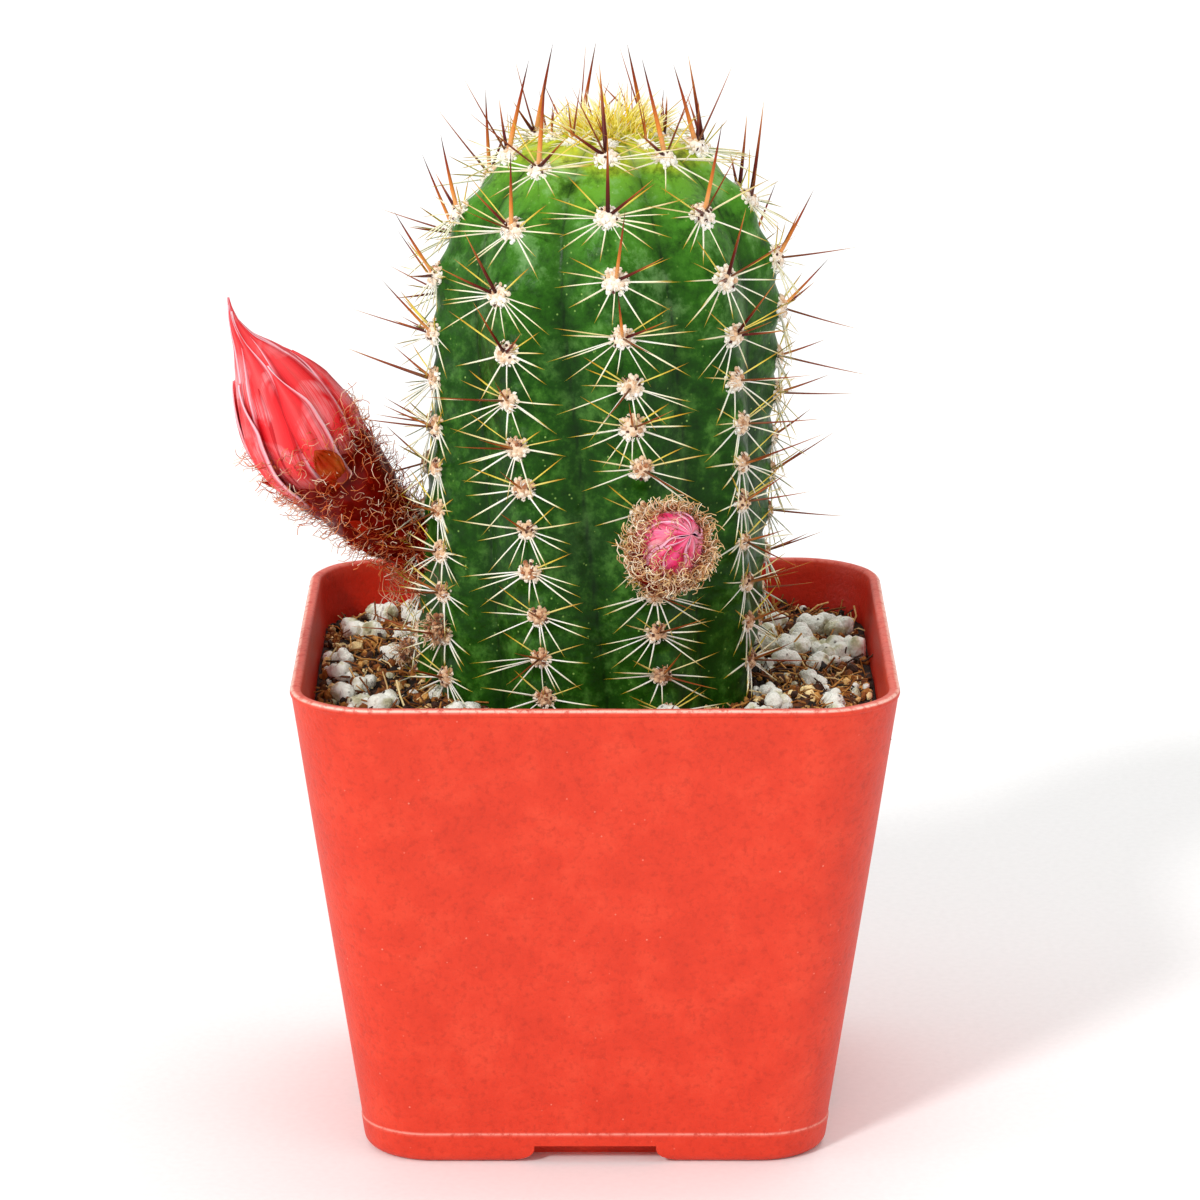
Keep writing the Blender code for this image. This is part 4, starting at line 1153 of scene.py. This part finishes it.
def path_in_boxes(names, shares):
    """A path given as shares of the box round some CAD nodes."""
    boxes = [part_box(name) for name in names]
    low = Vector([min(box[0][axis] for box in boxes) for axis in range(3)])
    high = Vector([max(box[1][axis] for box in boxes) for axis in range(3)])
    return [Vector([a + (b - a) * part for a, b, part in zip(low, high, share)]) for share in shares]


# Radius in millimetres of each closed flower, along its axis from its seat to its beak
LARGE_FLOWER = ((0.0, 7.2), (0.10, 8.0), (0.20, 8.2), (0.31, 7.9), (0.45, 6.9), (0.565, 5.4), (0.66, 3.7),
                (0.74, 2.2), (0.84, 1.1), (0.92, 0.55), (1.0, 0.1))
SMALL_FLOWER = ((0.0, 4.6), (0.2, 4.9), (0.4, 4.7), (0.6, 4.0), (0.78, 2.8), (0.9, 1.5), (0.97, 0.6), (1.0, 0.05))
large_flower_radius = rounded_radius(LARGE_FLOWER, 0.04)
small_flower_radius = rounded_radius(SMALL_FLOWER, 0.03)

# Radius in millimetres at which each bud's hair is rooted, along its span
LARGE_TUBE = ((0.0, 3.2), (0.11, 3.7), (0.23, 4.3), (0.34, 5.0), (0.45, 5.8), (0.57, 6.6), (0.68, 7.3),
              (0.8, 7.7), (1.0, 8.4))
SMALL_CUP = ((0.0, 1.5), (0.2, 1.9), (0.33, 2.5), (0.45, 4.0), (0.6, 5.6), (0.75, 5.7), (1.0, 4.5))


def make_large_bud():
    """The large bud hangs out from the left of the stem on its hairy tube, its beak bent upward."""
    path = path_in_boxes(("large_bud_tube", "large_bud_heart"), (
        (1.006, 0.76, 0.136), (0.871, 0.746, 0.21), (0.765, 0.72, 0.272), (0.657, 0.666, 0.339),
        (0.578, 0.62, 0.406), (0.491, 0.579, 0.474), (0.41, 0.539, 0.537), (0.343, 0.493, 0.615),
        (0.28, 0.453, 0.695),
        (0.184, 0.399, 0.808), (0.117, 0.366, 0.883), (0.078, 0.346, 0.937), (0.06, 0.326, 0.98),
        (0.051, 0.312, 1.019)))
    make_tube("large_bud_tube_skin", path, (0.0, 0.52), (3.2, 3.7, 4.3, 5.0, 5.8, 6.6, 7.3, 7.5, 6.0), tube_skin,
              ["large_bud_tube"])
    make_tepals("large_bud_tepals", path, (0.448, 1.0), large_flower_radius,
                ((4, 0.86, 0.0, 1.0, 1.15), (5, 0.92, 0.02, 1.0, 0.85), (6, 0.98, 0.0, 0.94, 0.5),
                 (5, 1.05, -0.06, 0.66, 0.36)), 0.6, coral_flesh,
                ["large_bud_heart"] + [f"large_bud_tepal_{n}" for n in range(1, 7)])
    make_scales("large_bud_scales", path, (0.03, 0.5), (3.6, 7.9), 24, tube_skin)
    draw = random.Random(31)

    def radius_at(share):
        return from_table(LARGE_TUBE, share) * MM

    # all over the tube, then a longer fringe that hangs from its base
    roots = hair_points(path, (0.0, 0.573), radius_at, 1700, (1.6, 4.4), draw, 0.5, 0.42)
    roots += hair_points(path, (0.0, 0.12), radius_at, 110, (3.0, 6.0), draw, -0.9, 0.9)
    grow(roots, curls, "large_bud_hair",
         {"Turns": 0.8, "Start radius": 0.05, "End radius": 0.24, "Wire": 0.015, "Steps": 8, "Seed": 9,
          "Finish": rust_hair})


def make_small_bud():
    """The small bud faces forward: a ball of buff hair, with pink tepals furled at its front."""
    path = path_in_boxes(("small_bud_cup", "small_bud_heart"), (
        (0.122, 1.088, 0.089), (0.272, 0.882, 0.213), (0.361, 0.701, 0.381), (0.431, 0.58, 0.536),
        (0.493, 0.446, 0.648), (0.608, 0.301, 0.735), (0.723, 0.18, 0.797)))
    make_tube("small_bud_cup_skin", path, (0.0, 0.72), (1.6, 1.9, 2.5, 4.0, 5.4, 5.5, 4.6), tube_skin,
              ["small_bud_cup"])
    make_tepals("small_bud_tepals", path, (0.56, 1.0), small_flower_radius,
                ((4, 0.9, 0.0, 1.0, 1.1), (5, 0.96, 0.0, 1.0, 0.7), (5, 1.03, -0.05, 0.8, 0.45)), 0.2, pink_flesh,
                ["small_bud_heart"] + [f"small_bud_tepal_{n}" for n in range(1, 5)])
    draw = random.Random(32)

    def radius_at(share):
        return from_table(SMALL_CUP, share) * MM

    # a short matted stub, the ball, and a few curls that lie over the tepals
    roots = hair_points(path, (0.0, 0.32), lambda share: radius_at(0.4 * share), 170, (1.2, 2.4), draw, -0.3, 0.5)
    roots += hair_points(path, (0.32, 0.77), lambda share: radius_at(0.4 + 0.56 * share), 900, (1.5, 3.3), draw,
                         0.9, 0.42)
    roots += hair_points(path, (0.72, 0.95), lambda share: small_flower_radius(0.36 + 0.52 * share) * 1.03, 130,
                         (1.4, 2.8), draw, 0.3, 0.3)
    grow(roots, curls, "small_bud_hair",
         {"Turns": 0.95, "Start radius": 0.06, "End radius": 0.3, "Wire": 0.026, "Steps": 8, "Seed": 10,
          "Finish": buff_hair})


def make_withered_flowers():
    """Dry, matted rests of old flowers: a felted knob with frayed hair."""
    knobs, frays = [], []
    draw = random.Random(41)
    stubs = ["withered_flower_left", "withered_flower_under_bud"]
    for name in stubs:
        low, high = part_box(name)
        middle = (low + high) / 2.0
        radius = min(high - low) * 0.24
        away = Vector((middle.x - axis_x(middle.z), middle.y, 0.0)).normalized()
        middle -= away * 0.8 * MM
        for number in range(WITHERED_KNOBS):
            spot = Vector([draw.gauss(0.0, 0.45) for axis in range(3)]) * radius
            spot.z *= 1.6
            size = draw.uniform(0.2, 0.5) * MM
            knobs.append({"place": middle + spot, "size": Vector((size, size * 0.6, size * 1.3)),
                          "tint": draw.uniform(0.5, 0.9)})
        for number in range(WITHERED_HAIRS):
            spot = Vector([draw.gauss(0.0, 1.0) for axis in range(3)]).normalized()
            direction = (spot + away * 0.4 - UP * 0.1).normalized()
            frays.append({"place": middle + spot * radius * 0.6, "direction": direction,
                          "length": draw.uniform(1.0, 2.4) * MM, "tint": draw.random()})
    grow(knobs, lumps, "withered_flowers",
         {"Fineness": 1, "Roughness": 0.0, "Seed": 11, "Finish": wool}, stubs)
    grow(frays, curls, "withered_flower_hair",
         {"Turns": 0.7, "Wire": 0.03, "Steps": 6, "Seed": 12, "Finish": buff_hair})


# ------------------------------------------------------------------ soil and pumice

SOIL_RINGS = 80
SOIL_CORNER = 11.0 * MM
CRUMB_COUNT = 5200
FIBRE_COUNT = 1500
HEAP_GRAINS = 8
LOBED_RADIUS = 1.2 * MM
GRIT_RADIUS = 1.7 * MM


def soil_height(x, y):
    """The soil's surface: low swells with crumbs on them."""
    broad = noise.noise(Vector((x * 70.0, y * 70.0, 0.3))) * 1.1 * MM
    crumbs = noise.noise(Vector((x * 420.0, y * 420.0, 5.0))) * 0.55 * MM
    fine = noise.noise(Vector((x * 1300.0, y * 1300.0, 9.0))) * 0.2 * MM
    return SOIL_LEVEL + broad + crumbs + fine + 0.4 * MM


def make_soil():
    """The potting mix as one closed lump: a crumbly top, sides and bottom just inside the pot."""
    rings = []
    gap = 0.15 * MM
    for step in range(1, SOIL_RINGS + 1):
        share = step / SOIL_RINGS
        half = (half_width(SOIL_LEVEL) - WALL - gap) * share
        radius = (CORNER_RADIUS * half_width(SOIL_LEVEL) / RIM_HALF - WALL) * share ** 0.5 * min(1.0, share * 1.2)
        ring = square_ring(half, min(radius, half * 0.95), 0.0, 24, 26)
        for point in ring:
            point.z = soil_height(point.x, point.y)
        rings.append(ring)
    for depth in (3.0, 20.0, 40.0, 58.0):
        z = SOIL_LEVEL - depth * MM
        radius = CORNER_RADIUS * half_width(z) / RIM_HALF - WALL
        rings.append(square_ring(half_width(z) - WALL - gap, radius, z, 24, 26))
    rings.reverse()
    bm = bmesh.new()
    skin_rings(bm, rings)
    settle(add_mesh("potting_mix", bm, peat), ["soil"])


def soil_spot(draw, margin):
    """A random place on the soil, clear of the wall and of the stem."""
    half = half_width(SOIL_LEVEL) - WALL - margin
    while True:
        x, y = draw.uniform(-half, half), draw.uniform(-half, half)
        corner = Vector([max(0.0, abs(away) - (half - SOIL_CORNER)) for away in (x, y)])
        if corner.length < SOIL_CORNER and math.hypot(x - LEAN_AT_SOIL, y) > STEM_RADIUS * 0.92 + margin * 0.5:
            return Vector((POT_X + x, y, soil_height(POT_X + x, y)))


def make_soil_litter():
    """Bark crumbs and coir fibres lying on the mix."""
    draw = random.Random(51)
    crumbs = []
    for number in range(CRUMB_COUNT):
        place = soil_spot(draw, 0.8 * MM)
        size = draw.uniform(0.25, 1.0) * MM * (1.0 if draw.random() < 0.85 else 1.5)
        crumbs.append({"place": place + UP * size * draw.uniform(0.0, 0.5),
                       "size": Vector((size, size * draw.uniform(0.4, 1.0), size * draw.uniform(0.3, 0.8))),
                       "tint": held(draw.gauss(0.46, 0.3))})
    bits = run_tree(point_cloud("crumb_places", crumbs), lumps, "bark_crumbs",
                    {"Fineness": 1, "Roughness": 0.35 * MM, "Roughness scale": 1500.0, "Seed": 13,
                     "Finish": bark})
    for polygon in bits.data.polygons:
        polygon.use_smooth = False
    settle(bits)
    fibres = []
    for number in range(FIBRE_COUNT):
        place = soil_spot(draw, 1.2 * MM)
        direction = Vector((draw.uniform(-1.0, 1.0), draw.uniform(-1.0, 1.0), draw.uniform(-0.05, 0.45)))
        fibres.append({"place": place + UP * draw.uniform(0.1, 0.8) * MM, "direction": direction.normalized(),
                       "length": draw.uniform(1.6, 4.2) * MM, "tint": held(draw.gauss(0.55, 0.22))})
    grow(fibres, curls, "coir_fibres",
         {"Turns": 0.45, "Start radius": 0.05, "End radius": 0.22, "Wire": 0.045, "Steps": 6, "Seed": 14,
          "Finish": bark})


def make_pumice():
    """Pumice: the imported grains, a small heap at the right rear, and smaller ones all over. Each of the larger
    grains is a few rounded lobes grown together."""
    draw = random.Random(61)
    grains = []
    nodes = [f"pumice_grain_{number:02d}" for number in range(1, 11)]
    for name in nodes:
        low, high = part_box(name)
        grains.append((Vector(((low.x + high.x) / 2.0, (low.y + high.y) / 2.0, 0.0)), (high.x - low.x) * 0.5))
    for number in range(HEAP_GRAINS):
        heap = Vector((POT_X + draw.uniform(25.0, 39.0) * MM, draw.uniform(2.0, 36.0) * MM, 0.0))
        if (heap.xy - Vector((POT_X + LEAN_AT_SOIL, 0.0))).length > STEM_RADIUS + 2.0 * MM:
            grains.append((heap, draw.uniform(1.5, 2.7) * MM))
    # each scatter has its count, its distance from the wall, and its smallest and largest radius in millimetres
    for count, margin, smallest, largest in ((125, 3.0, 0.9, 2.2), (150, 1.5, 0.35, 0.9)):
        for number in range(count):
            grains.append((soil_spot(draw, margin * MM), draw.uniform(smallest, largest) * MM))
    large, small = [], []
    for place, radius in grains:
        ground = soil_height(place.x, place.y)
        for lobe in range(draw.randint(3, 5) if radius > LOBED_RADIUS else 1):
            size = radius * (draw.uniform(0.55, 0.85) if lobe else 0.85)
            shift = Vector((draw.uniform(-0.8, 0.8), draw.uniform(-0.8, 0.8), draw.uniform(-0.2, 0.4))) * radius
            spot = Vector((place.x, place.y, ground + radius * 0.45)) + (shift if lobe else Vector())
            (large if radius > GRIT_RADIUS else small).append({"place": spot, "size": Vector(
                (size, size * draw.uniform(0.7, 1.0), size * draw.uniform(0.65, 0.95)))})
    for name, found, fineness, replaced in (("pumice_grains", large, 3, nodes), ("pumice_grit", small, 2, ())):
        grow(found, lumps, name,
             {"Fineness": fineness, "Roughness": 1.2 * MM, "Roughness scale": 700.0, "Seed": 15,
              "Finish": pumice}, replaced)


# ------------------------------------------------------------------ build

columns_areoles = all_areoles()
make_pot()
make_soil()
make_soil_litter()
make_pumice()
make_stem(columns_areoles)
make_wool(columns_areoles)
make_spines(columns_areoles, [f"spine_cluster_{rib}_{row}" for rib in range(1, 10) for row in range(1, 4)])
make_crown()
make_large_bud()
make_small_bud()
make_withered_flowers()


# ------------------------------------------------------------------ studio

def studio_paper():
    """Seamless paper: matt, nearly white."""
    made, tree, shader, place = finish_named("studio_paper")
    tooth = node(tree, "ShaderNodeTexNoise", {"Vector": place, "Scale": 900.0, "Detail": 2.0})
    colour = node(tree, "ShaderNodeValToRGB", {0: tooth.outputs[0]}, stops=((0.3, "#F6F6F5"), (0.7, "#FAFAF9")))
    set_shader(tree, shader, Base_Color=colour, Roughness=0.9)
    return made


# Soft suns: where each one stands, how wide it looks in degrees, and its strength
SUNS = (("key", (-0.5, -0.8, 0.7), 9.0, 1.6), ("fill", (0.8, -0.7, 0.5), 50.0, 0.3),
        ("top", (0.1, 0.3, 0.9), 40.0, 0.8), ("left", (-1.0, -0.12, 0.3), 30.0, 0.55))
SKY_STRENGTH = 0.66
CAMERA_LENS = 174.2
CAMERA_PLACE = (POT_X, -842.36 * MM, 300.38 * MM)
CAMERA_DIP = math.radians(14.85)
CAMERA_TURN = math.radians(-0.051)


def make_studio():
    """White paper under a white sky, four soft suns, and a camera a little above the rim."""
    bm = bmesh.new()
    bmesh.ops.create_grid(bm, x_segments=2, y_segments=2, size=4.0)
    floor = add_mesh("studio_floor", bm, studio_paper(), smooth=False)
    world = bpy.data.worlds.new("soft_white")
    world.use_nodes = True
    world.node_tree.nodes["Background"].inputs["Color"].default_value = linear("#FFFFFF")
    world.node_tree.nodes["Background"].inputs["Strength"].default_value = SKY_STRENGTH
    bpy.context.scene.world = world
    for name, place, spread, power in SUNS:
        lamp = bpy.data.lights.new(name, "SUN")
        lamp.angle = math.radians(spread)
        lamp.energy = power
        holder = bpy.data.objects.new(name, lamp)
        bpy.context.scene.collection.objects.link(holder)
        holder.location = place
        aim = Vector((POT_X, 0.0, 0.08)) - Vector(place)
        holder.rotation_euler = aim.to_track_quat("-Z", "Y").to_euler()
    camera = bpy.data.cameras.new("camera")
    camera.lens = CAMERA_LENS
    camera.sensor_width = 36.0
    holder = bpy.data.objects.new("camera", camera)
    bpy.context.scene.collection.objects.link(holder)
    holder.location = CAMERA_PLACE
    holder.rotation_euler = (math.pi / 2.0 - CAMERA_DIP, 0.0, CAMERA_TURN)
    bpy.context.scene.camera = holder
    bpy.context.scene.view_settings.view_transform = "Standard"


make_studio()
